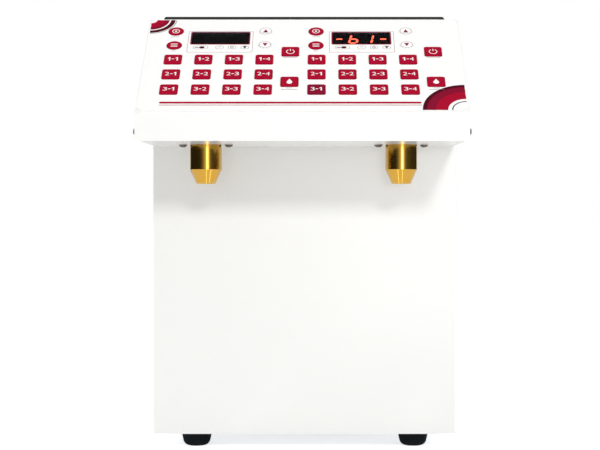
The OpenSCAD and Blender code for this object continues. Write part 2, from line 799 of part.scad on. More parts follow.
// --- screws and hose clips -----------------------------------------------------------------------
// a pan-head screw whose head's underside is at z = 0 and whose shank runs to -z
module screw(head_r, head_h, shank_r, length) {
    dome_r = (head_r * head_r + head_h * head_h) / (2 * head_h);
    difference() {
        intersection() {
            cylinder(r = head_r, h = head_h + 1);
            translate([0, 0, head_h - dome_r]) sphere(dome_r);
        }
        for (a = [0, 90]) rotate([0, 0, a])
            translate([-head_r * 0.55, -0.5, head_h - 1.2]) cube([head_r * 1.1, 1, 2]);
    }
    translate([0, 0, -length]) cylinder(r = shank_r, h = length + 0.2);
}

// a band with its worm housing on one side
module hose_clip(r_in) {
    tube_ring(r_in + 0.8, r_in + seat_gap, 8);
    translate([r_in + 0.5, -3, 1]) cube(6);
}

module screws() {
    color("dimgray") {
        for (sx = [-1, 1]) {
            for (dx = [-1, 1]) translate([sx * nozzle_spacing / 2 + dx * nozzle_screw_dx, nozzle_y, head_z])
                rotate([180, 0, 0]) screw(4.5, 3, 1.95, 8);
            translate([sx * body_w / 2, side_screw_y, side_screw_z]) rotate([0, sx * 90, 0])
                screw(4.5, 2.4, 1.5, 8);
            for (z = rear_screw_zs) translate([sx * rear_screw_x, rear_y, z]) rotate([-90, 0, 0])
                screw(3.4, 2, 1.5, 8);
            for (y = foot_ys) translate([sx * foot_x, y, foot_recess]) rotate([180, 0, 0])
                screw(4.6, 3, 2.5, foot_h - foot_recess + 6);
        }
    }
}

module hose_clips() {
    color("lightslategray") {
        both_sides() {
            translate([0, module_axis_y, inlet_port_top - 10]) hose_clip(port_r + 2.5);
            translate([0, module_axis_y, tank_floor_z - 12]) hose_clip(port_r + 2.5);
        }
        for (side = SIDES) {
            translate([side[1] * module_x, pump_y0 - 6, outlet_z]) rotate([90, -90, 0]) hose_clip(hose_r);
            translate([side[1] * nozzle_spacing / 2, nozzle_y, nozzle_barb_top - 12]) rotate([0, 0, 90])
                hose_clip(hose_r);
        }
    }
}

// --- feet --------------------------------------------------------------------------------
foot_recess = 6;
foot_round = 4;

module foot() {
    low_r = foot_d / 2 - 3;
    difference() {
        rotate_extrude() polygon(concat(
            [[0, 0]],
            [for (a = [0:15:90])
                [low_r - foot_round + foot_round * sin(a), foot_round - foot_round * cos(a)]],
            [[foot_d / 2, foot_h], [0, foot_h]]
        ));
        translate([0, 0, -1]) cylinder(r = 5.5, h = foot_recess + 1);
        translate([0, 0, -1]) cylinder(r = foot_hole_r, h = foot_h + 2);
    }
}

module feet() {
    color("#151818") for (sx = [-1, 1], y = foot_ys) translate([sx * foot_x, y, 0]) foot();
}

// --- the assembly --------------------------------------------------------------------------
casing();
base_plate();
rear_panel();
top_deck();
head_cover();
membrane_panel();
display_windows();
display_modules();
control_boards();
tanks();
tank_heaters();
pump_bodies();
pump_motors();
hoses();
nozzles();
power_supply();
power_inlet();
hose_clips();
screws();
feet();
lid();
rocker_switch();
for (side = SIDES) pump_rotor(side);
for (side = SIDES, key = KEYS) key_cap(side, key);
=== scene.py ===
# %% [markdown]
# # A twin-head fructose dispenser, dressed for its picture
#
# The machine stands on a drinks counter and pours measured shots of syrup from two brass nozzles. Its CAD
# model holds every piece at its real size, so nothing is sized here: the lesson gives each piece its edges,
# its print and its finish. It could all be redrawn by hand in Blender, but then the keys would no longer
# fit their holes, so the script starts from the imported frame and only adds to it.

# %% Load the frame
import json
import math

import bmesh
import bpy
from mathutils import Matrix, Vector


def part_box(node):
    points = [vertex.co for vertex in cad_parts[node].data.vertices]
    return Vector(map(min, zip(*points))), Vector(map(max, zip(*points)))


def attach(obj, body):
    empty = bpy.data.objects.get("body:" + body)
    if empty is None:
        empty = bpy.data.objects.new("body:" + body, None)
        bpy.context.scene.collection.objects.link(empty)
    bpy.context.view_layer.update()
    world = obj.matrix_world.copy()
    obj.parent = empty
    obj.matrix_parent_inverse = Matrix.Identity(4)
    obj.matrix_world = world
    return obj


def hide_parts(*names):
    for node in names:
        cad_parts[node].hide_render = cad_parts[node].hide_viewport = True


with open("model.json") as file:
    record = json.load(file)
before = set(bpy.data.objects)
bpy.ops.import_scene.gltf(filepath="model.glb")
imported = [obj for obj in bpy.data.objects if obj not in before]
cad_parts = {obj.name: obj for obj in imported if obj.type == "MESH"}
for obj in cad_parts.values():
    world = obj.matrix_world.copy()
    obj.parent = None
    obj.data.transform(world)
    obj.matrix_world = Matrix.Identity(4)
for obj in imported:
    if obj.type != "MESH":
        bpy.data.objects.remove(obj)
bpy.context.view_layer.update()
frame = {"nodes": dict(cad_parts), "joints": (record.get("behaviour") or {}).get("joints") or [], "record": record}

MM = 0.001
record = frame["record"]
BODY_OF = {node: body for body, nodes in record["behaviour"]["bodies"].items() for node in nodes}
HOUSING = BODY_OF["casing"]


def box_mm(node):
    """The lowest and highest corner of a node, in millimetres."""
    return [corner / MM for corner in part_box(node)]


# %% [markdown]
# ## The camera
#
# The picture was taken level, a metre and a half in front of the lip, and the lens was shifted instead of
# tilted: the upright edges stay upright. A tilted camera would make them lean. So this camera looks
# straight along +Y, and its shift puts the machine where the picture has it.

# %% Camera
CAMERA_BEFORE_LIP = 1485
CAMERA_X = 20.4
CAMERA_Z = 272.8
LENS = 90.7
SHIFT_X, SHIFT_Y = -0.0384, -0.0397

cover_low, cover_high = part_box("head_cover")
camera = bpy.data.objects.new("camera", bpy.data.cameras.new("camera"))
bpy.context.collection.objects.link(camera)
camera.location = (CAMERA_X * MM, cover_low.y - CAMERA_BEFORE_LIP * MM, CAMERA_Z * MM)
camera.rotation_euler = (math.pi / 2, 0, 0)
camera.data.lens = LENS
camera.data.shift_x = SHIFT_X
camera.data.shift_y = SHIFT_Y
bpy.context.scene.camera = camera
print("camera at", [round(v, 3) for v in camera.location])

# %% [markdown]
# ## The sloped face as a drawing board
#
# Keys, windows and print all lie on the sloped control face. Working out their places in X, Y and Z one by
# one would be slow and easy to get wrong. The keys move straight into the face, so the axis of a key's
# joint is the face's own inward direction. One matrix made from it turns face coordinates into places: x
# across, s up the slope from the fold, n out of the face, all in millimetres.

# %% The face's matrix
press_axis = next(j["axis"] for j in frame["joints"] if j["name"].endswith("key_1_1_press"))
face_out = -Vector(press_axis).normalized()
face_up = Vector((0, face_out.z, -face_out.y))
slope_height = (cover_high.y - cover_low.y) * face_up.z / face_up.y
fold = Vector((0, cover_low.y, cover_high.z - slope_height))


def plane_at(origin, right, up, out):
    """A matrix from millimetres on a plane to places in the frame."""
    turn = Matrix((right, up, out)).transposed().to_4x4()
    return Matrix.Translation(origin) @ turn @ Matrix.Scale(MM, 4)


FACE = plane_at(fold, Vector((1, 0, 0)), face_up, face_out)


def box_on(plane, node):
    """The lowest and highest corner of a CAD node in a plane's own millimetres."""
    back = plane.inverted()
    points = [back @ v.co for v in frame["nodes"][node].data.vertices]
    low = Vector([min(p[i] for p in points) for i in range(3)])
    high = Vector([max(p[i] for p in points) for i in range(3)])
    return low, high


film_low, film_high = box_on(FACE, "membrane_panel")
print("the print covers", [round(v, 1) for v in film_high - film_low], "mm")

# %% [markdown]
# ## Two small helpers for finishes
#
# A finish is a tree of shader nodes. One function turns the hex codes that painters and printers use into
# the linear numbers that a renderer needs, and one adds a node with its settings and its links. Everything
# else about a finish is written out where it is made, because that is where it is worth reading.

# %% Colours and nodes
def linear(code):
    """An sRGB hex code, such as #B2002D, as linear red, green, blue and alpha."""
    shares = [int(code[i:i + 2], 16) / 255 for i in (1, 3, 5)]
    return [*(c / 12.92 if c <= 0.04045 else ((c + 0.055) / 1.055) ** 2.4 for c in shares), 1.0]


def add(finish, kind, inputs=None, **settings):
    """Adds a shader node. An input is a value, or an output of another node to link."""
    node = finish.node_tree.nodes.new("ShaderNode" + kind)
    for name, value in settings.items():
        setattr(node, name, value)
    for socket, value in (inputs or {}).items():
        if isinstance(value, bpy.types.NodeSocket):
            finish.node_tree.links.new(value, node.inputs[socket])
        else:
            node.inputs[socket].default_value = value
    return node


def start(name, **sockets):
    """A material with one Principled shader. Underscores in a socket's name stand for spaces."""
    finish = bpy.data.materials.new(name)
    finish.use_nodes = True
    shader = finish.node_tree.nodes["Principled BSDF"]
    for socket, value in sockets.items():
        shader.inputs[socket.replace("_", " ")].default_value = value
    return finish, shader


def wire(finish, output, shader, socket):
    """Links a node's output to a socket of the shader."""
    finish.node_tree.links.new(output, shader.inputs[socket])


# %% [markdown]
# ## A surface that is nearly even
#
# Paint, moulded plastic, rubber and ink look even from far away. Close up, their tone drifts a little,
# their gloss drifts with it, and they have a grain. A photograph of a real surface could be wrapped round
# each piece, but it would stretch at the edges and repeat. Noise in the piece's own space has neither
# fault, so one function wires it to colour, roughness and bump. The grain's size is a real one in
# millimetres.

# %% A grain in colour, gloss and height
MIX_A, MIX_B, MIX_RESULT = 6, 7, 2


def grain(finish, shader, size, tones, gloss, height, stretch=(1, 1, 1), detail=3.0):
    """Noise of a size and height in millimetres, between two tones and two roughnesses."""
    place = add(finish, "TexCoord").outputs["Object"]
    scaled = add(finish, "Mapping", {"Vector": place, "Scale": stretch}).outputs["Vector"]
    noise = add(finish, "TexNoise", {"Vector": scaled, "Scale": 1 / (size * MM),
                                     "Detail": detail}).outputs["Fac"]
    tone = add(finish, "Mix", {0: noise, MIX_A: linear(tones[0]), MIX_B: linear(tones[1])}, data_type="RGBA")
    shine = add(finish, "MapRange", {"Value": noise, "From Min": 0.3, "From Max": 0.7,
                                     "To Min": gloss[0], "To Max": gloss[1]})
    bump = add(finish, "Bump", {"Height": noise, "Distance": height * MM, "Strength": 1.0})
    wire(finish, tone.outputs[MIX_RESULT], shader, "Base Color")
    wire(finish, shine.outputs["Result"], shader, "Roughness")
    wire(finish, bump.outputs["Normal"], shader, "Normal")
    return noise


# %% [markdown]
# ## White polyester powder coat
#
# The casing is sheet steel, sprayed with white powder and baked. The powder flows as it melts, which leaves
# a glossy skin with the faint waviness of orange peel, about two millimetres from crest to crest. Seen from
# far below, the underside of the head mirrors the nozzles and their screws. Powder hides the steel wholly,
# so the shader is a plain dielectric and not a metal, and a clear coat on top would give a second
# reflection that powder does not have.

# %% Powder coat
powder, powder_shader = start("white_polyester_powder_coat", IOR=1.5)
grain(powder, powder_shader, 2.2, ("#F6F6F3", "#F9F9F7"), (0.16, 0.22), 0.004, detail=1.0)

# %% [markdown]
# ## Screen-printed polyester
#
# The control face is one laminate of polyester film, printed from behind and embossed over each key. The
# film has a fine velvet texture against glare, so it looks satin and the inks under it have no texture of
# their own. Each ink is a separate finish, because a printer mixes one pot for each colour. Their gloss is
# low, and so is their specular level: the velvet spreads what little the film reflects.

# %% The laminate and its inks
INK_TONES = {
    "pale_polyester_film": ("#FAFAF8", "#FCFCFB"),
    "crimson_screen_ink": ("#A80029", "#B0002E"),
    "dark_crimson_screen_ink": ("#850A2C", "#8C0C30"),
    "rose_grey_screen_ink": ("#A9838B", "#B18B93"),
    "maroon_screen_ink": ("#4A0718", "#550A1E"),
    "black_screen_ink": ("#1A1416", "#201A1C"),
    "white_screen_ink": ("#FBF6F6", "#FFFBFB"),
    "grey_screen_ink": ("#948E8F", "#9C9697"),
}
inks = {}
for ink_name, ink_tones in INK_TONES.items():
    inks[ink_name], ink_shader = start(ink_name, IOR=1.5, Specular_IOR_Level=0.12)
    grain(inks[ink_name], ink_shader, 0.5, ink_tones, (0.32, 0.42), 0.002)
film, crimson, dark_crimson, rose_grey_ink, maroon, black_ink, white_ink, grey_ink = inks.values()
print(len(inks), "inks")

# %% [markdown]
# ## Plastics and rubber
#
# Four mouldings are black, and each is a different plastic. The lid is ABS from a spark-eroded mould, with
# an even pebbled grain of half a millimetre. The inlet and rocker are glass-filled nylon, duller and a
# little greyer. The feet and rotors are rubber, the dullest of all: it scatters light in its own skin, so
# its specular level is low as well. The pump bodies are white acetal, which is waxy. They share the grain
# function and differ in size, tone and gloss.

# %% Moulded finishes
MOULDED = {
    # name: index of refraction, specular level, grain size, tones, roughness, grain height
    "textured_black_abs": (1.53, 0.5, 0.5, ("#1F2321", "#292D2B"), (0.36, 0.5), 0.03),
    "glass_filled_black_nylon": (1.53, 0.5, 0.35, ("#161717", "#1E1F1F"), (0.42, 0.56), 0.012),
    "moulded_black_rubber": (1.52, 0.12, 0.8, ("#14191C", "#1C2226"), (0.6, 0.75), 0.02),
    "nitrile_rubber": (1.52, 0.3, 0.6, ("#1D2326", "#262D31"), (0.5, 0.65), 0.01),
    "natural_acetal": (1.48, 0.5, 1.2, ("#DEDDD6", "#E8E7E1"), (0.3, 0.4), 0.006),
    "orange_silicone_heater_mat": (1.41, 0.5, 1.0, ("#B4481B", "#C25423"), (0.55, 0.7), 0.03),
    "grey_motor_enamel": (1.5, 0.5, 1.6, ("#575C61", "#62676C"), (0.3, 0.42), 0.01),
}
moulded = {}
for plastic, (ior, level, size, tones, gloss, height) in MOULDED.items():
    moulded[plastic], plastic_shader = start(plastic, IOR=ior, Specular_IOR_Level=level)
    grain(moulded[plastic], plastic_shader, size, tones, gloss, height)
print(len(moulded), "moulded finishes")

# %% [markdown]
# ## Gold-plated polished brass
#
# The nozzles are turned from brass bar, polished, flashed with gold and lacquered, so that syrup does not
# tarnish them. What one sees on polished metal is the room, not the metal: the gold tints it, and the
# lacquer over it adds a faint white reflection, which shows only where the room is brightest. The bar keeps
# the very fine rings of the polishing mop, so the gloss changes a little from ring to ring. A painted
# gradient would look right from one side only.

# %% Polished brass
RING_PITCH = 0.35
brass, brass_shader = start("gold_plated_lacquered_brass", Metallic=1.0, Coat_Weight=0.6, Coat_Roughness=0.04)
grain(brass, brass_shader, RING_PITCH, ("#D8A437", "#DEAD42"), (0.06, 0.13), 0.0004, stretch=(0.02, 0.02, 1),
      detail=1.0)

# %% [markdown]
# ## Steel and aluminium
#
# The tanks are stainless sheet, brushed along their width with an abrasive belt: long thin scratches, so
# the noise is drawn out forty times along X. The base is zinc plated, which shows a cloud of dull crystals.
# The power supply's case is aluminium as it comes from the mill. The screws are steel with a dark zinc
# passivation, and the inlet's blades are nickel plate.

# %% Metal finishes
METALS = {
    "brushed_stainless_steel": (0.3, ("#B4B7BA", "#CDD0D2"), (0.22, 0.38), 0.004, (0.025, 1, 1)),
    "zinc_plated_steel": (6.0, ("#8F959B", "#A9AFB4"), (0.34, 0.5), 0.003, (1, 1, 1)),
    "mill_finish_aluminium": (0.8, ("#B9BBBD", "#C6C8C9"), (0.3, 0.42), 0.003, (0.05, 1, 1)),
    "dark_zinc_screw_steel": (0.7, ("#5F5C5A", "#75716E"), (0.26, 0.4), 0.004, (1, 1, 1)),
    "nickel_plate": (0.5, ("#B6AFA4", "#C4BEB4"), (0.16, 0.26), 0.002, (1, 1, 0.1)),
}
metals = {}
for metal, (size, tones, gloss, height, stretch) in METALS.items():
    metals[metal], metal_shader = start(metal, Metallic=1.0)
    grain(metals[metal], metal_shader, size, tones, gloss, height, stretch=stretch)
print(len(metals), "metals")

# %% [markdown]
# ## Smoked acrylic and the digits behind it
#
# Each display window is a pane of acrylic with smoke-grey dye in it, over a module of red light-emitting
# segments. The dye darkens what is behind twice for a dark segment, once on the way in and once on the way
# out, but only once for a lit one, and that is why dark digits vanish. A black pane with digits painted on
# it would look the same from the front, but the digits would not sink behind the pane from the side, so the
# pane really transmits.

# %% Pane, module and segments
PANE_DYE = "#5A5A5E"
pane, pane_shader = start("smoked_acrylic", Base_Color=linear(PANE_DYE), IOR=1.49, Transmission_Weight=1.0)
pane_haze = add(pane, "TexNoise", {"Scale": 1 / (4 * MM), "Detail": 2.0,
                                   "Vector": add(pane, "TexCoord").outputs["Object"]}).outputs["Fac"]
pane_gloss = add(pane, "MapRange", {"Value": pane_haze, "To Min": 0.02, "To Max": 0.06})
wire(pane, pane_gloss.outputs["Result"], pane_shader, "Roughness")

potting, potting_shader = start("black_potting_resin", IOR=1.54)
grain(potting, potting_shader, 1.0, ("#0B0A0A", "#121010"), (0.4, 0.5), 0.004)

dark_segment, dark_segment_shader = start("unlit_red_epoxy", IOR=1.54)
grain(dark_segment, dark_segment_shader, 1.0, ("#1A0B0A", "#21100E"), (0.35, 0.45), 0.003)

SEGMENT_GLOW = 28
lit_segment, lit_segment_shader = start("lit_red_epoxy", IOR=1.54, Emission_Strength=SEGMENT_GLOW)
glow_noise = grain(lit_segment, lit_segment_shader, 2.5, ("#C8301C", "#D84024"), (0.35, 0.45), 0.003)
glow = add(lit_segment, "Mix", {0: glow_noise, MIX_A: linear("#FF4A30"), MIX_B: linear("#FF7250")},
           data_type="RGBA")
wire(lit_segment, glow.outputs[MIX_RESULT], lit_segment_shader, "Emission Color")

# %% [markdown]
# ## Hoses and boards
#
# The hoses are milky silicone: light goes in and comes back out a little way off, so they have subsurface
# scattering and no hard shadow edge. The boards are glass-epoxy under green solder mask, and the copper
# tracks show as slightly raised, lighter lines. A grid of bricks of real track pitch gives lines that turn
# corners at right angles, as routed tracks do.

# %% Silicone and solder mask
silicone, silicone_shader = start("milky_silicone", IOR=1.41, Subsurface_Weight=0.4, Subsurface_Scale=2 * MM)
grain(silicone, silicone_shader, 1.5, ("#D3D6D3", "#DFE1DE"), (0.3, 0.42), 0.004)

TRACK_PITCH = 2.54
BOARD_TILT = 0.67
board, board_shader = start("green_solder_mask", IOR=1.5, Roughness=0.35)
board_place = add(board, "Mapping", {"Vector": add(board, "TexCoord").outputs["Object"],
                                     "Rotation": (BOARD_TILT, 0, 0)})
tracks = add(board, "TexBrick", {"Vector": board_place.outputs["Vector"], "Scale": 1 / (TRACK_PITCH * MM) / 4,
                                 "Color1": linear("#0F4A26"), "Color2": linear("#125229"),
                                 "Mortar": linear("#2A7A45"), "Mortar Size": 0.03, "Brick Width": 2.0,
                                 "Row Height": 1.0})
wire(board, tracks.outputs["Color"], board_shader, "Base Color")
track_bump = add(board, "Bump", {"Height": tracks.outputs["Fac"], "Distance": 0.035 * MM})
wire(board, track_bump.outputs["Normal"], board_shader, "Normal")

# %% [markdown]
# ## Edges that catch the light
#
# The CAD model's edges are perfectly sharp, and no real edge is. A pressed sheet has a bend radius of about
# its own thickness, a cut edge is broken by its paint, and a moulding has a small radius everywhere.
# Drawing each radius in CAD would be slow to build, so the mesh is copied and its edges are bevelled here.
# Flat neighbours are joined first, so that the bevel meets few slivers. A joined face with a window in it
# is one polygon that runs round the window, and the bevel can fold it over the hole, so large faces are cut
# into triangles again. A weighted normal then keeps flat faces flat in shading.

# %% A copy with broken edges
EDGE_ANGLE = math.radians(28)


def merged_copy(node):
    """The mesh of a CAD node as a bmesh, with flat neighbours joined and large faces cut cleanly."""
    made = bmesh.new()
    made.from_mesh(frame["nodes"][node].data)
    bmesh.ops.remove_doubles(made, verts=made.verts, dist=0.002 * MM)
    bmesh.ops.dissolve_limit(made, angle_limit=math.radians(0.5), verts=made.verts, edges=made.edges)
    large = [face for face in made.faces if len(face.verts) > 4]
    bmesh.ops.triangulate(made, faces=large, ngon_method="EAR_CLIP")
    return made


def place_mesh(name, made, finishes, body):
    """Puts a finished bmesh into the scene as a piece that rides on a body."""
    mesh = bpy.data.meshes.new(name)
    made.to_mesh(mesh)
    made.free()
    piece = bpy.data.objects.new(name, mesh)
    bpy.context.collection.objects.link(piece)
    for finish in finishes:
        mesh.materials.append(finish)
    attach(piece, body)
    return piece


def stand_for(piece, *nodes):
    """The piece stands in for these CAD nodes, which are hidden."""
    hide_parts(*nodes)
    return piece


def break_edges(piece, width, steps=3):
    """Rounds every edge of a piece by a width in millimetres."""
    for face in piece.data.polygons:
        face.use_smooth = True
    bevel = piece.modifiers.new("broken_edges", "BEVEL")
    bevel.width = width * MM
    bevel.segments = steps
    bevel.limit_method = "ANGLE"
    bevel.angle_limit = EDGE_ANGLE
    normals = piece.modifiers.new("flat_faces_stay_flat", "WEIGHTED_NORMAL")
    normals.keep_sharp = True
    return piece


def softened(node, finish, width, bends=None, bend_width=0.0):
    """A copy of a CAD node with broken edges. bends picks the edges that are bends of the sheet."""
    made = merged_copy(node)
    if bends:
        bent = [e for e in made.edges if len(e.link_faces) == 2 and bends(*(v.co / MM for v in e.verts))]
        bmesh.ops.bevel(made, geom=bent, offset=bend_width * MM, segments=6, profile=0.5, affect="EDGES")
        print(node, "has", len(bent), "bent edges")
    piece = place_mesh(node + "_finished", made, [finish], BODY_OF[node])
    return break_edges(stand_for(piece, node), width)


# %% [markdown]
# ## The sheet-metal shells
#
# The casing is folded from one sheet: its upright front corners are bends, and so is the line where the
# head cover turns from the lip into the slope. Those edges get a bend radius, and the cut edges of the
# sheet only lose their sharpness under the paint. The test for a bend looks at where both ends of an edge
# lie.

# %% Casing, head cover, deck, back and base
SHEET = 1.5
BEND, FOLD_BEND = 1.6, 1.0
casing_high = box_mm("casing")[1]
face_fold = fold / MM
head_floor = cover_low.z / MM
body_front = box_mm("base_plate")[0].y - SHEET
NEAR, FOLD_NEAR = 0.05, 0.6  # how far a point may be from a bend and still lie on it


def is_corner_bend(a, b):
    """Upright edge at a front corner of the body, from the bottom up."""
    upright = abs(a.x - b.x) < NEAR and abs(a.y - b.y) < NEAR
    outside = abs(abs(a.x) - casing_high.x) < NEAR and abs(a.y - body_front) < NEAR
    return upright and outside and min(a.z, b.z) < head_floor - NEAR


def is_fold(a, b):
    """The edge between the lip and the slope, on the outside."""
    return all(abs(p.y - face_fold.y) < NEAR and abs(p.z - face_fold.z) < FOLD_NEAR for p in (a, b))


softened("casing", powder, 0.4, is_corner_bend, BEND)
softened("head_cover", powder, 0.35, is_fold, FOLD_BEND)
softened("top_deck", powder, 0.3)
softened("rear_panel", powder, 0.35)
softened("base_plate", metals["zinc_plated_steel"], 0.3)

# %% [markdown]
# ## Filleted outlines
#
# The turned nozzles, the feet, the inlet's blades and every printed pill are outlines with rounded corners.
# Typing the points of each arc would hide what the shape is. Here a corner is three numbers, its place and
# its radius, and one function works out the arc that touches both sides.

# %% Fillets
def filleted(corners, steps=6):
    """The points of a closed outline whose corners are (x, y, radius)."""
    outline = []
    for i, (x, y, radius) in enumerate(corners):
        here = Vector((x, y))
        if not radius:
            outline.append(here)
            continue
        back = (Vector(corners[i - 1][:2]) - here).normalized()
        ahead = (Vector(corners[(i + 1) % len(corners)][:2]) - here).normalized()
        half = back.angle(ahead) / 2
        middle = here + (back + ahead).normalized() * radius / math.sin(half)
        first = here + back * radius / math.tan(half) - middle
        last = here + ahead * radius / math.tan(half) - middle
        turn = first.angle_signed(last)
        for k in range(steps + 1):
            spoke = first.copy()
            spoke.rotate(Matrix.Rotation(-turn * k / steps, 2))
            outline.append(middle + spoke)
    return outline


def pill(x, y, width, height, radius):
    """A rectangle with round corners about a centre."""
    w, h = width / 2, height / 2
    return filleted([(x - w, y - h, radius), (x + w, y - h, radius),
                     (x + w, y + h, radius), (x - w, y + h, radius)])


def disc(x, y, radius, steps=40):
    """A circle's points."""
    return arc(x, y, radius, 0, 360 * (steps - 1) / steps, steps - 1)


def arc(x, y, radius, start_angle, end_angle, steps=24):
    """Points along an arc, angles in degrees."""
    turns = [math.radians(start_angle + (end_angle - start_angle) * k / steps) for k in range(steps + 1)]
    return [Vector((x + radius * math.cos(t), y + radius * math.sin(t))) for t in turns]


# %% [markdown]
# ## Turned pieces
#
# Nozzles and feet are round about an upright axis. A lathe makes them in the workshop, so a lathe makes
# them here: a closed profile of radius and height is swept round. The profile goes up inside the bore as
# well, so the outlet is a real hole. The CAD mesh would do for a matt part, but on a mirror its flat strips
# show, so these have many narrow ones.

# %% Lathe
def lathe(made, profile, x, y, steps=120):
    """Sweeps a closed profile of (radius, height) round an upright axis at x, y, all in millimetres."""
    rings = []
    for i in range(steps):
        angle = 2 * math.pi * i / steps
        across = Vector((math.cos(angle), math.sin(angle), 0))
        rings.append([made.verts.new((Vector((x, y, z)) + across * r) * MM) for r, z in profile])
    for i in range(steps):
        ahead = rings[(i + 1) % steps]
        for k in range(len(profile)):
            nearby = (k + 1) % len(profile)
            made.faces.new((rings[i][k], ahead[k], ahead[nearby], rings[i][nearby]))
    bmesh.ops.recalc_face_normals(made, faces=made.faces)


def plate(made, outline, z_low, z_high):
    """A flat plate of an outline in X and Y between two heights, in millimetres."""
    face = made.faces.new([made.verts.new(Vector((p.x, p.y, z_low)) * MM) for p in outline])
    top = bmesh.ops.extrude_face_region(made, geom=[face])["geom"]
    lift = Vector((0, 0, (z_high - z_low) * MM))
    bmesh.ops.translate(made, verts=[v for v in top if isinstance(v, bmesh.types.BMVert)], vec=lift)
    bmesh.ops.recalc_face_normals(made, faces=made.faces)


# %% [markdown]
# ## The nozzles
#
# Each nozzle is a brass cylinder that ends in a cone, with the outlet drilled up the middle. Above the
# head's floor it has a flange for its two screws, a neck and a barb for the hose. Only the corner between
# cylinder and cone and the rim of the outlet are left nearly sharp, as the polisher leaves them.

# %% Nozzles
NOZZLE_R = 16.75
NOZZLE_TIP_R = 10
OUTLET_R = 6
CONE = 15
NECK_R, BARB_R, BARB_BORE_R = 9, 4, 2.5
FLANGE = 4
NECK = 16
BORE_END = 3  # how far under the floor of the head the wide bore ends
FLANGE_EAR_X, FLANGE_EAR_R, FLANGE_R = 24, 9, 19
nozzle_low, nozzle_high = box_mm("nozzles")
nozzle_x = nozzle_high.x - FLANGE_EAR_X - FLANGE_EAR_R
nozzle_y = (nozzle_low.y + nozzle_high.y) / 2
seat = head_floor + SHEET
bore_top = head_floor - BORE_END

nozzle_profile = filleted([
    (BARB_BORE_R, nozzle_high.z, 0), (BARB_R, nozzle_high.z, 0.5), (BARB_R, seat + NECK, 0),
    (NECK_R, seat + NECK, 1), (NECK_R, seat + FLANGE, 0), (NOZZLE_R, seat + FLANGE, 0),
    (NOZZLE_R, nozzle_low.z + CONE, 0.4), (NOZZLE_TIP_R, nozzle_low.z, 0.4),
    (OUTLET_R, nozzle_low.z, 0.3), (OUTLET_R, bore_top, 0), (BARB_BORE_R, bore_top, 0),
])
ear_start = math.degrees(math.asin(FLANGE_EAR_R / FLANGE_R))
nozzles = bmesh.new()
for side in (-1, 1):
    middle = side * nozzle_x
    lathe(nozzles, nozzle_profile, middle, nozzle_y)
    flange = (arc(middle + FLANGE_EAR_X, nozzle_y, FLANGE_EAR_R, -90, 90)
              + arc(middle, nozzle_y, FLANGE_R, ear_start, 180 - ear_start)
              + arc(middle - FLANGE_EAR_X, nozzle_y, FLANGE_EAR_R, 90, 270)
              + arc(middle, nozzle_y, FLANGE_R, 180 + ear_start, 360 - ear_start))
    plate(nozzles, flange, seat, seat + FLANGE)
break_edges(stand_for(place_mesh("nozzles_finished", nozzles, [brass], HOUSING), "nozzles"), 0.15)
print("nozzles at x", round(nozzle_x, 1), "and y", round(nozzle_y, 1))

# %% [markdown]
# ## The feet
#
# Four rubber feet taper towards the worktop. They are moulded, with a generous radius where they stand, and
# the screw that holds each one sits deep in a recess so that it never touches the counter.

# %% Feet
FOOT_TOP_R, FOOT_LOW_R, FOOT_ROUND = 18, 13.8, 7
RECESS_R, RECESS_TOP, HOLE_R = 5.5, 6, 2.6
foot_low, foot_high = box_mm("feet")
foot_profile = filleted([
    (RECESS_R, foot_low.z, 0.6), (FOOT_LOW_R, foot_low.z, FOOT_ROUND), (FOOT_TOP_R, foot_high.z, 0.8),
    (HOLE_R, foot_high.z, 0), (HOLE_R, RECESS_TOP, 0), (RECESS_R, RECESS_TOP, 0),
])
feet = bmesh.new()
for foot_x in (foot_low.x + FOOT_TOP_R, foot_high.x - FOOT_TOP_R):
    for foot_y in (foot_low.y + FOOT_TOP_R, foot_high.y - FOOT_TOP_R):
        lathe(feet, foot_profile, foot_x, foot_y, 72)
feet_piece = place_mesh("feet_finished", feet, [moulded["moulded_black_rubber"]], HOUSING)
break_edges(stand_for(feet_piece, "feet"), 0.1)

# %% [markdown]
# ## Lid, inlet, rocker and screws
#
# These keep their CAD shapes and only need broken edges: half a millimetre on the moulded lid, less on
# small pieces. The screws are domed with a cross recess, and a tenth of a millimetre is enough to catch the
# light.

# %% Small mouldings and screws
softened("lid", moulded["textured_black_abs"], 0.5)
softened("power_inlet", moulded["glass_filled_black_nylon"], 0.3)
softened("rocker_switch", moulded["glass_filled_black_nylon"], 0.4)
softened("screws", metals["dark_zinc_screw_steel"], 0.12)

# %% [markdown]
# ## The laminate, the panes and the keys
#
# The laminate lies on the cover, its holes a hair larger than the keys. Every key is its own piece and
# rides on its own body, so it can be pressed. The laminate is shaded flat, because smooth shading leaves
# streaks between so many holes. On the real face the film runs on over the keys, embossed to show where
# they are, and the small radius round each key gives the same soft step.

# %% Face pieces
laminate = softened("membrane_panel", film, 0.25)
laminate.modifiers.remove(laminate.modifiers["flat_faces_stay_flat"])
for face in laminate.data.polygons:
    face.use_smooth = False
softened("display_windows", pane, 0.3)

SIDES = {"left": -1, "right": 1}
DOSE_KEYS = [f"{row}_{column}" for row in (1, 2, 3) for column in (1, 2, 3, 4)]
WORN_KEY = "right_key_3_1"
key_nodes = [f"{side}_key_{key}" for side in SIDES
             for key in DOSE_KEYS + ["set", "mode", "up", "down", "power", "pump"]]
for node in key_nodes:
    key_ink = film if node.endswith(("up", "down")) else dark_crimson if node == WORN_KEY else crimson
    softened(node, key_ink, 0.25)
print(len(key_nodes), "keys")

# %% [markdown]
# ## Ink with a thickness
#
# Screen ink is a real layer, a few hundredths of a millimetre thick. It could be painted into the film's
# colour by a shader, but small numerals would need an image, and a shader's edges turn soft up close. So
# each printed shape is a flat mesh on the plane that it is printed on, made as thick as ink by a Solidify
# modifier. It rides on the body under it, and so the numerals go down with their key.

# %% Printing
INK = 0.05


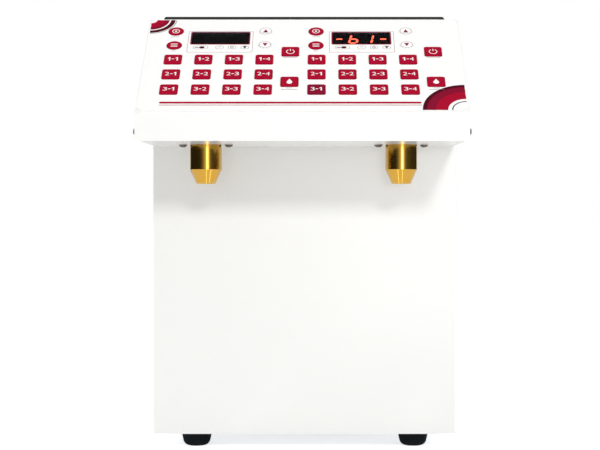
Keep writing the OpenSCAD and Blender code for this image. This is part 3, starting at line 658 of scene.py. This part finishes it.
def printed(name, shapes, ink, node, plane=None, height=None):
    """Prints closed outlines, in a plane's millimetres, on a CAD node's top or at a given height."""
    plane = plane or FACE
    level = box_on(plane, node)[1].z if height is None else height
    made = bmesh.new()
    for outline in shapes:
        made.faces.new([made.verts.new(plane @ Vector((p[0], p[1], level))) for p in outline])
    bmesh.ops.remove_doubles(made, verts=made.verts, dist=0.001 * MM)
    out = plane.to_3x3() @ Vector((0, 0, 1))
    for face in made.faces:
        face.normal_update()
        if face.normal.dot(out) < 0:
            face.normal_flip()
    piece = place_mesh(name, made, [ink], BODY_OF[node])
    thickness = piece.modifiers.new("ink_thickness", "SOLIDIFY")
    thickness.thickness = INK * MM
    thickness.offset = 1


def band(line, width, closed=False):
    """The quads of a line drawn with a pen of a width."""
    count = len(line)
    sides = []
    for i, point in enumerate(line):
        back = line[i - 1] if closed or i else point
        ahead = line[(i + 1) % count] if closed or i < count - 1 else point
        along = (ahead - back).normalized()
        across = Vector((-along.y, along.x)) * width / 2
        sides.append((point - across, point + across))
    joined = zip(sides, sides[1:] + sides[:1] if closed else sides[1:])
    return [(here[0], there[0], there[1], here[1]) for here, there in joined]


# %% [markdown]
# ## Numerals
#
# Each dose key carries its row and column with a bar between. Blender's own plain typeface does for the
# digits, apart from the 1. A text object could ride on the key as it is, but its letters are sized by the
# typeface and not in millimetres, so each digit is turned into a mesh and fitted to a box of the real size.

# %% Numerals on the dose keys
NUMERAL_W, NUMERAL_H = 4.3, 6.0
ONE_CELL, ONE_W, ONE_STEM = 3.6, 2.5, 1.25
DASH_W, DASH_H, DASH_GAP = 2.7, 1.0, 0.7
NUMERAL_RISE = 0.7
WEIGHT = -0.004  # thins the strokes, as a share of the letter size


def lettered(text, x, y, width, height):
    """The outlines of a text that fills a box about a centre."""
    curve = bpy.data.curves.new("numeral", "FONT")
    curve.body = text
    curve.offset = WEIGHT
    curve.resolution_u = 4
    holder = bpy.data.objects.new("numeral", curve)
    bpy.context.collection.objects.link(holder)
    mesh = bpy.data.meshes.new_from_object(holder.evaluated_get(bpy.context.evaluated_depsgraph_get()))
    xs = [v.co.x for v in mesh.vertices]
    ys = [v.co.y for v in mesh.vertices]
    fit_x, fit_y = width / (max(xs) - min(xs)), height / (max(ys) - min(ys))
    spots = [((v.co.x - min(xs)) * fit_x + x - width / 2, (v.co.y - min(ys)) * fit_y + y - height / 2)
             for v in mesh.vertices]
    shapes = [[spots[i] for i in face.vertices] for face in mesh.polygons]
    bpy.data.objects.remove(holder)
    bpy.data.meshes.remove(mesh)
    return shapes


def figure(digit, x, y):
    """The outlines of a digit. The typeface's 1 would become a block, so it is a stem and a flag."""
    if digit != "1":
        return lettered(digit, x, y, NUMERAL_W, NUMERAL_H)
    left, right, low, top = x - ONE_W / 2, x + ONE_W / 2, y - NUMERAL_H / 2, y + NUMERAL_H / 2
    stem = right - ONE_STEM
    return [[(stem, low), (right, low), (right, top), (stem, top)],
            [(left, top - 2 * ONE_STEM), (stem, top - ONE_STEM), (stem, top), (left, top - ONE_STEM)]]


def key_middle(node):
    """The middle of a key on the face."""
    low, high = box_on(FACE, node)
    return (low.x + high.x) / 2, (low.y + high.y) / 2


for side in SIDES:
    for key in DOSE_KEYS:
        x, s = key_middle(f"{side}_key_{key}")
        s += NUMERAL_RISE
        row_w, column_w = (ONE_CELL if digit == "1" else NUMERAL_W for digit in key.split("_"))
        x += (row_w - column_w) / 2
        beside = DASH_W / 2 + DASH_GAP
        shapes = [pill(x, s, DASH_W, DASH_H, 0.3)]
        shapes += figure(key[0], x - beside - row_w / 2, s) + figure(key[2], x + beside + column_w / 2, s)
        printed(f"{side}_numeral_{key}", shapes, white_ink, f"{side}_key_{key}")

# %% [markdown]
# ## Plain symbols on the other keys
#
# The setting keys, the power key and the pump key carry plain symbols that every machine uses: a ring with
# a dot, three bars, the broken ring with a stroke, and a drop. The up and down keys are pale, with a thin
# outline and a triangle.

# %% Symbols
SYMBOL_LINE = 0.8
RING_R, DOT_R = 3.6, 1.3
BAR_W, BAR_H, BAR_STEP = 7.2, 1.0, 2.4
POWER_R, STROKE_H, DROP_R = 4.0, 4.2, 2.9
ARROW_W, ARROW_H, OUTLINE_R, OUTLINE = 5.4, 6.2, 6.0, 0.5


def triangle(x, y, width, height):
    """A triangle whose point is up, or down if its height is negative."""
    return [Vector((x - width / 2, y - height / 2)), Vector((x + width / 2, y - height / 2)),
            Vector((x, y + height / 2))]


def drop(x, y, radius):
    """A drop: a circle with a point on top."""
    return arc(x, y, radius, 150, 390) + [Vector((x, y + radius * 2.1))]


def on_key(side, key, kind, shapes, ink=white_ink):
    """Prints shapes, drawn round the middle of a key, on that key."""
    node = f"{side}_key_{key}"
    x, s = key_middle(node)
    moved = [[(p[0] + x, p[1] + s) for p in outline] for outline in shapes]
    printed(f"{side}_{kind}_{key}", moved, ink, node)


SYMBOLS = {
    "set": band(disc(0, 0, RING_R), SYMBOL_LINE, closed=True) + [disc(0, 0, DOT_R)],
    "mode": [pill(0, BAR_STEP * row, BAR_W, BAR_H, 0.45) for row in (-1, 0, 1)],
    "power": band(arc(0, -0.4, POWER_R, 120, 420), SYMBOL_LINE) + [pill(0, 2.6, SYMBOL_LINE, STROKE_H, 0.35)],
    "pump": [drop(0, -1.2, DROP_R)],
}
for side in SIDES:
    for key, shapes in SYMBOLS.items():
        on_key(side, key, "symbol", shapes)
    for key, point in (("up", 1), ("down", -1)):
        on_key(side, key, "symbol", [triangle(0, 0, ARROW_W, ARROW_H * point)], dark_crimson)
        on_key(side, key, "outline", band(disc(0, 0, OUTLINE_R), OUTLINE, closed=True), rose_grey_ink)

# %% [markdown]
# ## Print round the keys
#
# Round each window runs a dark crimson border, and a thin frame hangs from it round the four signal fields.
# Under some keys stand short grey rules. Two pinstripes cross the foot of the face.

# %% Borders, frames, fields and rules
FRAME_LEFT, FRAME_RIGHT, FRAME_LOW, FRAME_HIGH = -47, 20.7, 107, 147.4
FIELD_S = 116.4
FIELDS = ((-33.4, 15.4), (-13.5, 8.2), (-0.5, 8.2), (12.8, 8.2))
FIELD_H = 6.0
THIN = 0.45
BORDER, BORDER_GAP = 1.25, 0.1
RULES = (  # key, length, distance below the middle of the key
    ("set", 8.5, 10.4), ("mode", 4.5, 10.4), ("power", 14, 11), ("pump", 6.5, 11), ("pump", 16, 13.6))

window_low, window_high = box_on(FACE, "display_windows")
half_x = (key_middle("right_key_set")[0] - key_middle("left_key_set")[0]) / 2
window_dx = (window_low.x + window_high.x) / 2
window_w, window_h = window_high.x - window_low.x - 2 * half_x, window_high.y - window_low.y
window_s = (window_low.y + window_high.y) / 2

for side, direction in SIDES.items():
    middle = direction * half_x
    beyond = BORDER + 2 * BORDER_GAP
    edge = pill(middle + window_dx, window_s, window_w + beyond, window_h + beyond, 1.2)
    printed(f"{side}_window_border", band(edge, BORDER, closed=True), dark_crimson, "membrane_panel")
    box = pill(middle + (FRAME_LEFT + FRAME_RIGHT) / 2, (FRAME_LOW + FRAME_HIGH) / 2,
               FRAME_RIGHT - FRAME_LEFT, FRAME_HIGH - FRAME_LOW, 1.0)
    outlines = band(box, THIN, closed=True)
    for dx, width in FIELDS:
        outlines += band(pill(middle + dx, FIELD_S, width, FIELD_H, 2.9), THIN, closed=True)
    printed(f"{side}_frame_and_fields", outlines, rose_grey_ink, "membrane_panel")
    printed(f"{side}_level_mark", [pill(middle + FIELDS[0][0] + 1.5, FIELD_S, 5.4, 3.8, 1.8)], maroon,
            "membrane_panel")
    dark = [triangle(middle + FIELDS[3][0], FIELD_S, 4.2, -4.6),
            pill(middle + FIELDS[0][0] - 3.8, FIELD_S, 4.6, 1.2, 0.5)]
    dark += band(arc(middle + FIELDS[1][0], FIELD_S - 0.9, 1.8, 30, 150, 8), 0.4)
    dark += band(disc(middle + FIELDS[2][0], FIELD_S, 1.4, 20), 0.6, closed=True)
    printed(f"{side}_black_marks", dark, black_ink, "membrane_panel")
    rules = []
    for key, width, below in RULES:
        x, s = key_middle(f"{side}_key_{key}")
        rules.append(pill(x, s - below, width, 0.7, 0.3))
    printed(f"{side}_grey_rules", rules, grey_ink, "membrane_panel")

STRIPE_LEFT, STRIPE_RIGHT = -142, 118
for name, s, width in (("wide", 15.4, 3.2), ("narrow", 11.2, 0.9)):
    stripe = pill((STRIPE_LEFT + STRIPE_RIGHT) / 2, s, STRIPE_RIGHT - STRIPE_LEFT, width, width * 0.45)
    printed(f"{name}_pinstripe", [stripe], crimson, "membrane_panel")

# %% [markdown]
# ## Corner ornament
#
# Two opposite corners of the face carry a printed ornament: quarter rings in crimson, maroon and black,
# each a pot of ink, as plain as the stripes of a rally car. Bands of an arc need no image and stay round at
# any size.

# %% Quarter rings in two corners
EDGE_GAP = 1.2


def quarter_rings(name, corner_x, corner_s, first_angle, rings):
    """Bands about a corner of the face. rings holds (inner radius, outer radius, ink)."""
    for number, (inner, outer, ink) in enumerate(rings):
        line = arc(corner_x, corner_s, (inner + outer) / 2, first_angle, first_angle + 90, 32)
        printed(f"{name}_ring_{number}", band(line, outer - inner), ink, "membrane_panel")


quarter_rings("lower_right", film_high.x - EDGE_GAP, film_low.y + EDGE_GAP, 90, (
    (14, 15.2, black_ink), (19, 31, crimson), (31, 40, dark_crimson), (40, 44, maroon)))
quarter_rings("upper_left", film_low.x + EDGE_GAP, film_high.y - EDGE_GAP, 270, (
    (6, 14, crimson), (14, 19, dark_crimson), (20.6, 25.4, maroon), (26.4, 27, black_ink)))

# %% [markdown]
# ## Seven-segment digits
#
# Each module has four digits of seven bars and a point. The bars are hexagons with pointed ends, and the
# digit leans to the right by ten degrees. The right display shows a plain number between two dashes, and
# the left one is off. Which bars a sign uses is the usual lettering from a to g, and the six has no bar on
# top.

# %% Digits
DIGIT_PITCH = 15.4
DIGIT_W, DIGIT_H = 7.8, 15.6
DIGIT_DS = 0.7
BAR = 2.2
BAR_GAP = 0.4
LEAN = math.tan(math.radians(10))
POINT_GAP, POINT_R = 1.9, 0.9
# letter: place across, place up, 1 where the bar is upright
BARS = {"a": (0, 1, 0), "b": (1, 0.5, 1), "c": (1, -0.5, 1), "d": (0, -1, 0),
        "e": (-1, -0.5, 1), "f": (-1, 0.5, 1), "g": (0, 0, 0)}
SIGNS = {" ": "", "-": "g", "6": "cdefg", "1": "bc"}
SHOWN = {"left": "    ", "right": "-61-"}


def bar_shape(x, y, upright):
    """One bar with pointed ends, before it leans."""
    reach = (DIGIT_H / 2 if upright else DIGIT_W) / 2 - BAR_GAP
    thick = BAR / 2
    along = [(-reach, 0), (-reach + thick, thick), (reach - thick, thick),
             (reach, 0), (reach - thick, -thick), (-reach + thick, -thick)]
    return [(x + (v if upright else u), y + (u if upright else v)) for u, v in along]


module_top = box_on(FACE, "display_modules")[1].z
digit_s = window_s + DIGIT_DS
for side, direction in SIDES.items():
    lit, unlit = [], []
    for place, sign in enumerate(SHOWN[side]):
        digit_x = direction * half_x + window_dx + (place - 1.5) * DIGIT_PITCH
        for bar, (across, up, upright) in BARS.items():
            outline = bar_shape(across * DIGIT_W / 2, up * DIGIT_H / 2, upright)
            leaning = [(digit_x + x + y * LEAN, digit_s + y) for x, y in outline]
            (lit if bar in SIGNS[sign] else unlit).append(leaning)
        point_x = digit_x + DIGIT_W / 2 + POINT_GAP - LEAN * DIGIT_H / 2
        unlit.append(disc(point_x, digit_s - DIGIT_H / 2, POINT_R, 20))
    printed(f"{side}_unlit_bars", unlit, dark_segment, "display_modules", height=module_top)
    if lit:
        printed(f"{side}_lit_bars", lit, lit_segment, "display_modules", height=module_top)
print("the displays show", SHOWN)

# %% [markdown]
# ## Marks on the rocker
#
# The rocker has the usual two marks, a line for on and a ring for off. Its two faces lean apart, so each
# mark is printed on a plane of its own. At rest the lower half is pressed in and upright, and the upper
# half leans out by twice the drum's tilt.

# %% Rocker marks
ROCKER_LEAN = 22
ROCKER_FACE = 2.5  # from the rocker's axis to its faces
rocker_axis = Vector(next(j["pos_m"] for j in frame["joints"] if j["name"] == "power_rocker"))
rocker_front = Vector((-1, 0, 0))


def rocker_plane(lean, step):
    """A plane on one half of the rocker: seen from behind, its right is -X."""
    angle = math.radians(lean)
    up = Vector((0, math.sin(angle), math.cos(angle)))
    out = Vector((0, math.cos(angle), -math.sin(angle)))
    return plane_at(rocker_axis + up * step * MM, rocker_front, up, out)


MARK_STEP = 4.6
for name, lean, step, shapes in (
        ("rocker_line", 0, -MARK_STEP, [pill(0, 0, 0.8, 4.2, 0.35)]),
        ("rocker_ring", ROCKER_LEAN, MARK_STEP, band(disc(0, 0, 1.9), 0.7, closed=True))):
    mark_plane = rocker_plane(lean, step)
    printed(name, shapes, white_ink, "rocker_switch", plane=mark_plane, height=ROCKER_FACE)

# %% [markdown]
# ## Blades in the inlet
#
# The inlet's three blades are plated metal in a black moulding. The moulding is one piece with one finish,
# so thin metal sleeves go round its blades.

# %% Inlet blades
BLADE_W, BLADE_H, SLEEVE = 2.0, 4.0, 0.08
BLADES_AT = ((-7, -3.5), (0, 0.5), (7, -3.5))
BLADE_ROOT, BLADE_TIP = 15, 2.5  # depths behind the face of the inlet
SOCKET_DROP = 11
inlet_low, inlet_high = box_mm("power_inlet")
inlet_x = (inlet_low.x + inlet_high.x) / 2
inlet_z = (inlet_low.z + inlet_high.z) / 2
blade_back = inlet_high.y - BLADE_ROOT
tip = inlet_high.y - BLADE_TIP + SLEEVE
blades = bmesh.new()
for dx, dz in BLADES_AT:
    x_low, x_high = inlet_x + dx - BLADE_W / 2 - SLEEVE, inlet_x + dx + BLADE_W / 2 + SLEEVE
    outline = filleted([(x_low, blade_back, 0), (x_high, blade_back, 0),
                        (x_high, tip, 0.6), (x_low, tip, 0.6)])
    blade_low = inlet_z - SOCKET_DROP + dz
    plate(blades, outline, blade_low - SLEEVE, blade_low + BLADE_H + SLEEVE)
blade_piece = place_mesh("inlet_blades", blades, [metals["nickel_plate"]], HOUSING)
break_edges(blade_piece, 0.15)

# %% [markdown]
# ## Finishes inside the casing
#
# The inner pieces show only when the lid is up, and most not even then. They still get a real finish each,
# because a part in a library is taken apart. Their CAD shapes stay as they are. The hoses are soft, so they
# are smoothed from the twelve-sided tubes that the CAD model has.

# %% Inner pieces
INNER = {
    "display_modules": potting, "control_boards": board, "tanks": metals["brushed_stainless_steel"],
    "tank_heaters": moulded["orange_silicone_heater_mat"], "pump_bodies": moulded["natural_acetal"],
    "pump_motors": moulded["grey_motor_enamel"], "hose_clips": metals["brushed_stainless_steel"],
    "power_supply": metals["mill_finish_aluminium"], "left_pump_rotor": moulded["nitrile_rubber"],
    "right_pump_rotor": moulded["nitrile_rubber"],
}
for node, finish in INNER.items():
    frame["nodes"][node].data.materials.clear()
    frame["nodes"][node].data.materials.append(finish)

hoses = stand_for(place_mesh("hoses_finished", merged_copy("hoses"), [silicone], HOUSING), "hoses")
for face in hoses.data.polygons:
    face.use_smooth = True
hose_rims = hoses.modifiers.new("rims", "BEVEL")
hose_rims.width = 0.4 * MM
hose_rims.limit_method = "ANGLE"
hose_rims.angle_limit = math.radians(60)
hose_round = hoses.modifiers.new("round", "SUBSURF")
hose_round.levels = hose_round.render_levels = 1

# %% [markdown]
# ## The studio
#
# The picture is high key: a pale floor, a pale room and three soft lamps. The key lamp stands far in front,
# a little to the right and above the camera, so that the lip and the foot of the casing get nearly the same
# light. Its height is read from the shadow that the head throws on the body, and its size from how soft
# that shadow is. A low front lamp opens that shadow, and a high one lights the sloped face, which the other
# two only graze. More of the key alone would burn the lip out before the face turned white.

# %% Lamps
scene = bpy.context.scene
scene.view_settings.view_transform = "Standard"


def aimed(thing, azimuth, elevation, away, target):
    """Puts something round a target, azimuth 0 in front and positive to the right, facing the target."""
    a, e = math.radians(azimuth), math.radians(elevation)
    direction = Vector((math.sin(a) * math.cos(e), -math.cos(a) * math.cos(e), math.sin(e)))
    thing.location = target + direction * away * MM
    thing.rotation_euler = direction.to_track_quat("Z", "Y").to_euler()


LAMPS = {
    # name: azimuth, elevation, distance, size, watts, height of the target
    "key_lamp": (11, 21.5, 6000, 670, 104, 300),
    "low_front_lamp": (-6, 0, 2200, 800, 3.2, 110),
    "high_front_lamp": (4, 68, 1500, 500, 3.4, 420),
}
for name, (azimuth, elevation, away, size, watts, target_z) in LAMPS.items():
    lamp = bpy.data.objects.new(name, bpy.data.lights.new(name, "AREA"))
    scene.collection.objects.link(lamp)
    lamp.data.size = size * MM
    lamp.data.energy = watts
    aimed(lamp, azimuth, elevation, away, Vector((0, -100, target_z)) * MM)

# %% [markdown]
# ## Room and floor
#
# The camera, mirrors and glass see the room and the floor as white, but the room lights the machine less
# than that. One strength for both would either grey the background or wash out every shadow. A Light Path
# node tells the two kinds of ray apart. The floor still takes the machine's shadow: its paint glows for
# those who see it and is matt as well. Its answer to light is stretched for the camera, so that it reaches
# white there and still darkens under the casing. The cones mirror it, and for them it glows less.

# %% Room and floor
ROOM_FILL = 0.63
FLOOR_GLOW = 0.68
MIRRORED_GLOW = 0.2
FLOOR_ANSWER = 1.65
FLOOR_SIDE = 30000
BLACK, WHITE = (0, 0, 0, 1), (1, 1, 1, 1)


def seen_directly(finish):
    """1 for camera, glossy and transmission rays, 0 for the rays that only carry light."""
    path = add(finish, "LightPath")
    either = add(finish, "Math", {0: path.outputs["Is Camera Ray"], 1: path.outputs["Is Glossy Ray"]},
                 operation="ADD")
    return add(finish, "Math", {0: either.outputs[0], 1: path.outputs["Is Transmission Ray"]},
               operation="ADD", use_clamp=True).outputs[0]


room = bpy.data.worlds.new("pale_room")
scene.world = room
room.use_nodes = True
air = room.node_tree.nodes["Background"]
air.inputs["Color"].default_value = WHITE
strength = add(room, "MapRange", {"Value": seen_directly(room), "To Min": ROOM_FILL, "To Max": 1.0})
wire(room, strength.outputs["Result"], air, "Strength")

floor_paint = bpy.data.materials.new("pale_floor_paint")
floor_paint.use_nodes = True
floor_tree = floor_paint.node_tree
floor_tree.nodes.remove(floor_tree.nodes["Principled BSDF"])
floor_seen = seen_directly(floor_paint)
eye = add(floor_paint, "LightPath")
mirrored_glow = add(floor_paint, "Math", {0: floor_seen, 1: MIRRORED_GLOW}, operation="MULTIPLY")
floor_glow = add(floor_paint, "Math", {0: eye.outputs["Is Camera Ray"], 1: FLOOR_GLOW - MIRRORED_GLOW,
                                       2: mirrored_glow.outputs[0]}, operation="MULTIPLY_ADD")
floor_light = add(floor_paint, "Emission", {"Color": WHITE, "Strength": floor_glow.outputs[0]})
matt_seen = add(floor_paint, "BsdfDiffuse", {"Color": (FLOOR_ANSWER, FLOOR_ANSWER, FLOOR_ANSWER, 1)})
matt_bounce = add(floor_paint, "BsdfDiffuse", {"Color": linear("#F4F4F4")})
matt = add(floor_paint, "MixShader", {0: eye.outputs["Is Camera Ray"], 1: matt_bounce.outputs[0],
                                      2: matt_seen.outputs[0]})
both = add(floor_paint, "AddShader", {0: floor_light.outputs[0], 1: matt.outputs[0]})
wire(floor_paint, both.outputs[0], floor_tree.nodes["Material Output"], "Surface")


def card(name, width, height, finish):
    """A flat card, centred on its own origin and facing its +Z."""
    mesh = bpy.data.meshes.new(name)
    w, h = width / 2 * MM, height / 2 * MM
    mesh.from_pydata([(-w, -h, 0), (w, -h, 0), (w, h, 0), (-w, h, 0)], [], [(0, 1, 2, 3)])
    return staged(name, mesh, finish)


def staged(name, mesh, finish):
    """Puts a mesh into the studio."""
    mesh.materials.append(finish)
    made = bpy.data.objects.new(name, mesh)
    scene.collection.objects.link(made)
    return made


card("floor", FLOOR_SIDE, FLOOR_SIDE, floor_paint)

# %% [markdown]
# ## A tent for the brass
#
# Polished metal in a white room looks white. A photographer stands dark cloth round it and leaves a bright
# slit by the camera, and the metal gets its dark flanks and one narrow highlight. Here the cloth is a ring
# whose glow follows the direction: nearly dark at the sides, rising softly from the left, brightest just
# right of the camera. The steps of a row of cards would show in the brass as stripes. One small bright card
# in front of the cloth whitens the middle of the highlight, as it does where a picture is overexposed. The
# cones look down and mirror the floor, so a narrow bright strip lies on it for each of them, and a dark
# cloth overhead keeps the inks deep. The cloth shows in first reflections only, so that light still gets
# from wall to wall down into the steel tanks. Only reflections see all this: it throws no shadow and dims
# nothing.

# %% Tent, strips and overhead cloth
TENT_R, TENT_HALF_H, TENT_SPAN, TENT_Z = 1300, 450, 140, 310
TENT_GLOW = 2.6
FIRST_BOUNCE = 1.5  # a ray depth over this is a later reflection
# azimuth from the front, positive to the right, and the share of the full glow there
GLOW_AT = ((-140, 0.01), (-60, 0.01), (-40, 0.016), (-30, 0.035), (-22, 0.08), (-14, 0.15), (-7, 0.24),
           (0, 0.42), (5, 1.0), (14, 1.0), (21, 0.42), (28, 0.13), (37, 0.06), (50, 0.035), (80, 0.02),
           (140, 0.012))

tent_cloth, tent_shader = start("glowing_tent_cloth", Base_Color=BLACK, Roughness=1.0, Specular_IOR_Level=0.0,
                                Emission_Strength=TENT_GLOW)
turned = add(tent_cloth, "Mapping", {"Vector": add(tent_cloth, "TexCoord").outputs["Object"],
                                     "Rotation": (0, 0, math.pi / 2)})
around = add(tent_cloth, "TexGradient", {"Vector": turned.outputs["Vector"]}, gradient_type="RADIAL")
shares = add(tent_cloth, "ValToRGB", {"Fac": around.outputs["Fac"]})
stops = shares.color_ramp.elements
while len(stops) < len(GLOW_AT):
    stops.new(0.5)
for stop, (azimuth, share) in zip(stops, GLOW_AT):
    stop.position = 0.5 + azimuth / 360
    stop.color = (share, share, share, 1)
wire(tent_cloth, shares.outputs["Color"], tent_shader, "Emission Color")

cloth, cloth_shader = start("black_felt", Base_Color=linear("#120C06"), Roughness=1.0, Specular_IOR_Level=0.0)
bounces = add(cloth, "LightPath").outputs["Ray Depth"]
later = add(cloth, "Math", {0: bounces, 1: FIRST_BOUNCE}, operation="GREATER_THAN")
once_only = add(cloth, "MixShader", {0: later.outputs[0], 1: cloth_shader.outputs[0],
                                     2: add(cloth, "BsdfTransparent").outputs[0]})
wire(cloth, once_only.outputs[0], cloth.node_tree.nodes["Material Output"], "Surface")


def glowing(name, strength):
    """A card that only glows."""
    return start(name, Base_Color=BLACK, Emission_Color=WHITE, Roughness=1.0, Emission_Strength=strength)[0]


def for_reflections_only(thing):
    """Only glossy rays meet the thing."""
    thing.visible_camera = thing.visible_diffuse = thing.visible_transmission = False
    thing.visible_shadow = thing.visible_volume_scatter = False


ring = arc(0, 0, TENT_R * MM, -90 - TENT_SPAN, -90 + TENT_SPAN, 56)
tent_mesh = bpy.data.meshes.new("tent")
tent_mesh.from_pydata([(p.x, p.y, level * TENT_HALF_H * MM) for level in (-1, 1) for p in ring], [],
                      [(i, i + 1, len(ring) + i + 1, len(ring) + i) for i in range(len(ring) - 1)])
tent = staged("tent", tent_mesh, tent_cloth)
tent.location = Vector((0, nozzle_y, TENT_Z)) * MM
for_reflections_only(tent)

OVERHEAD_W, OVERHEAD_D, OVERHEAD_AWAY, OVERHEAD_ELEVATION = 1800, 1500, 1000, 80
overhead = card("overhead_cloth", OVERHEAD_W, OVERHEAD_D, cloth)
aimed(overhead, 180, OVERHEAD_ELEVATION, OVERHEAD_AWAY, Vector((0, -0.1, 0.42)))
for_reflections_only(overhead)

HIGHLIGHT_W, HIGHLIGHT_H, HIGHLIGHT_Z, HIGHLIGHT_GLOW = 70, 90, 355, 12
HIGHLIGHT_AZIMUTH, HIGHLIGHT_AWAY = 9.5, 1250
highlight = card("highlight_card", HIGHLIGHT_W, HIGHLIGHT_H, glowing("bright_card", HIGHLIGHT_GLOW))
aimed(highlight, HIGHLIGHT_AZIMUTH, 0, HIGHLIGHT_AWAY, Vector((0, nozzle_y, HIGHLIGHT_Z)) * MM)
for_reflections_only(highlight)

STRIP_AZIMUTH, STRIP_NEAR, STRIP_LENGTH, STRIP_W, STRIP_GLOW = 9, 130, 420, 12, 4
turn = math.radians(STRIP_AZIMUTH)
reach = STRIP_NEAR + STRIP_LENGTH / 2
strip_finish = glowing("lit_strip", STRIP_GLOW)
for side in (-1, 1):
    strip = card(f"floor_strip_{side + 1}", STRIP_W, STRIP_LENGTH, strip_finish)
    strip_x, strip_y = side * nozzle_x + reach * math.sin(turn), nozzle_y - reach * math.cos(turn)
    strip.location = Vector((strip_x, strip_y, 1)) * MM
    strip.rotation_euler = (0, 0, turn)
    for_reflections_only(strip)
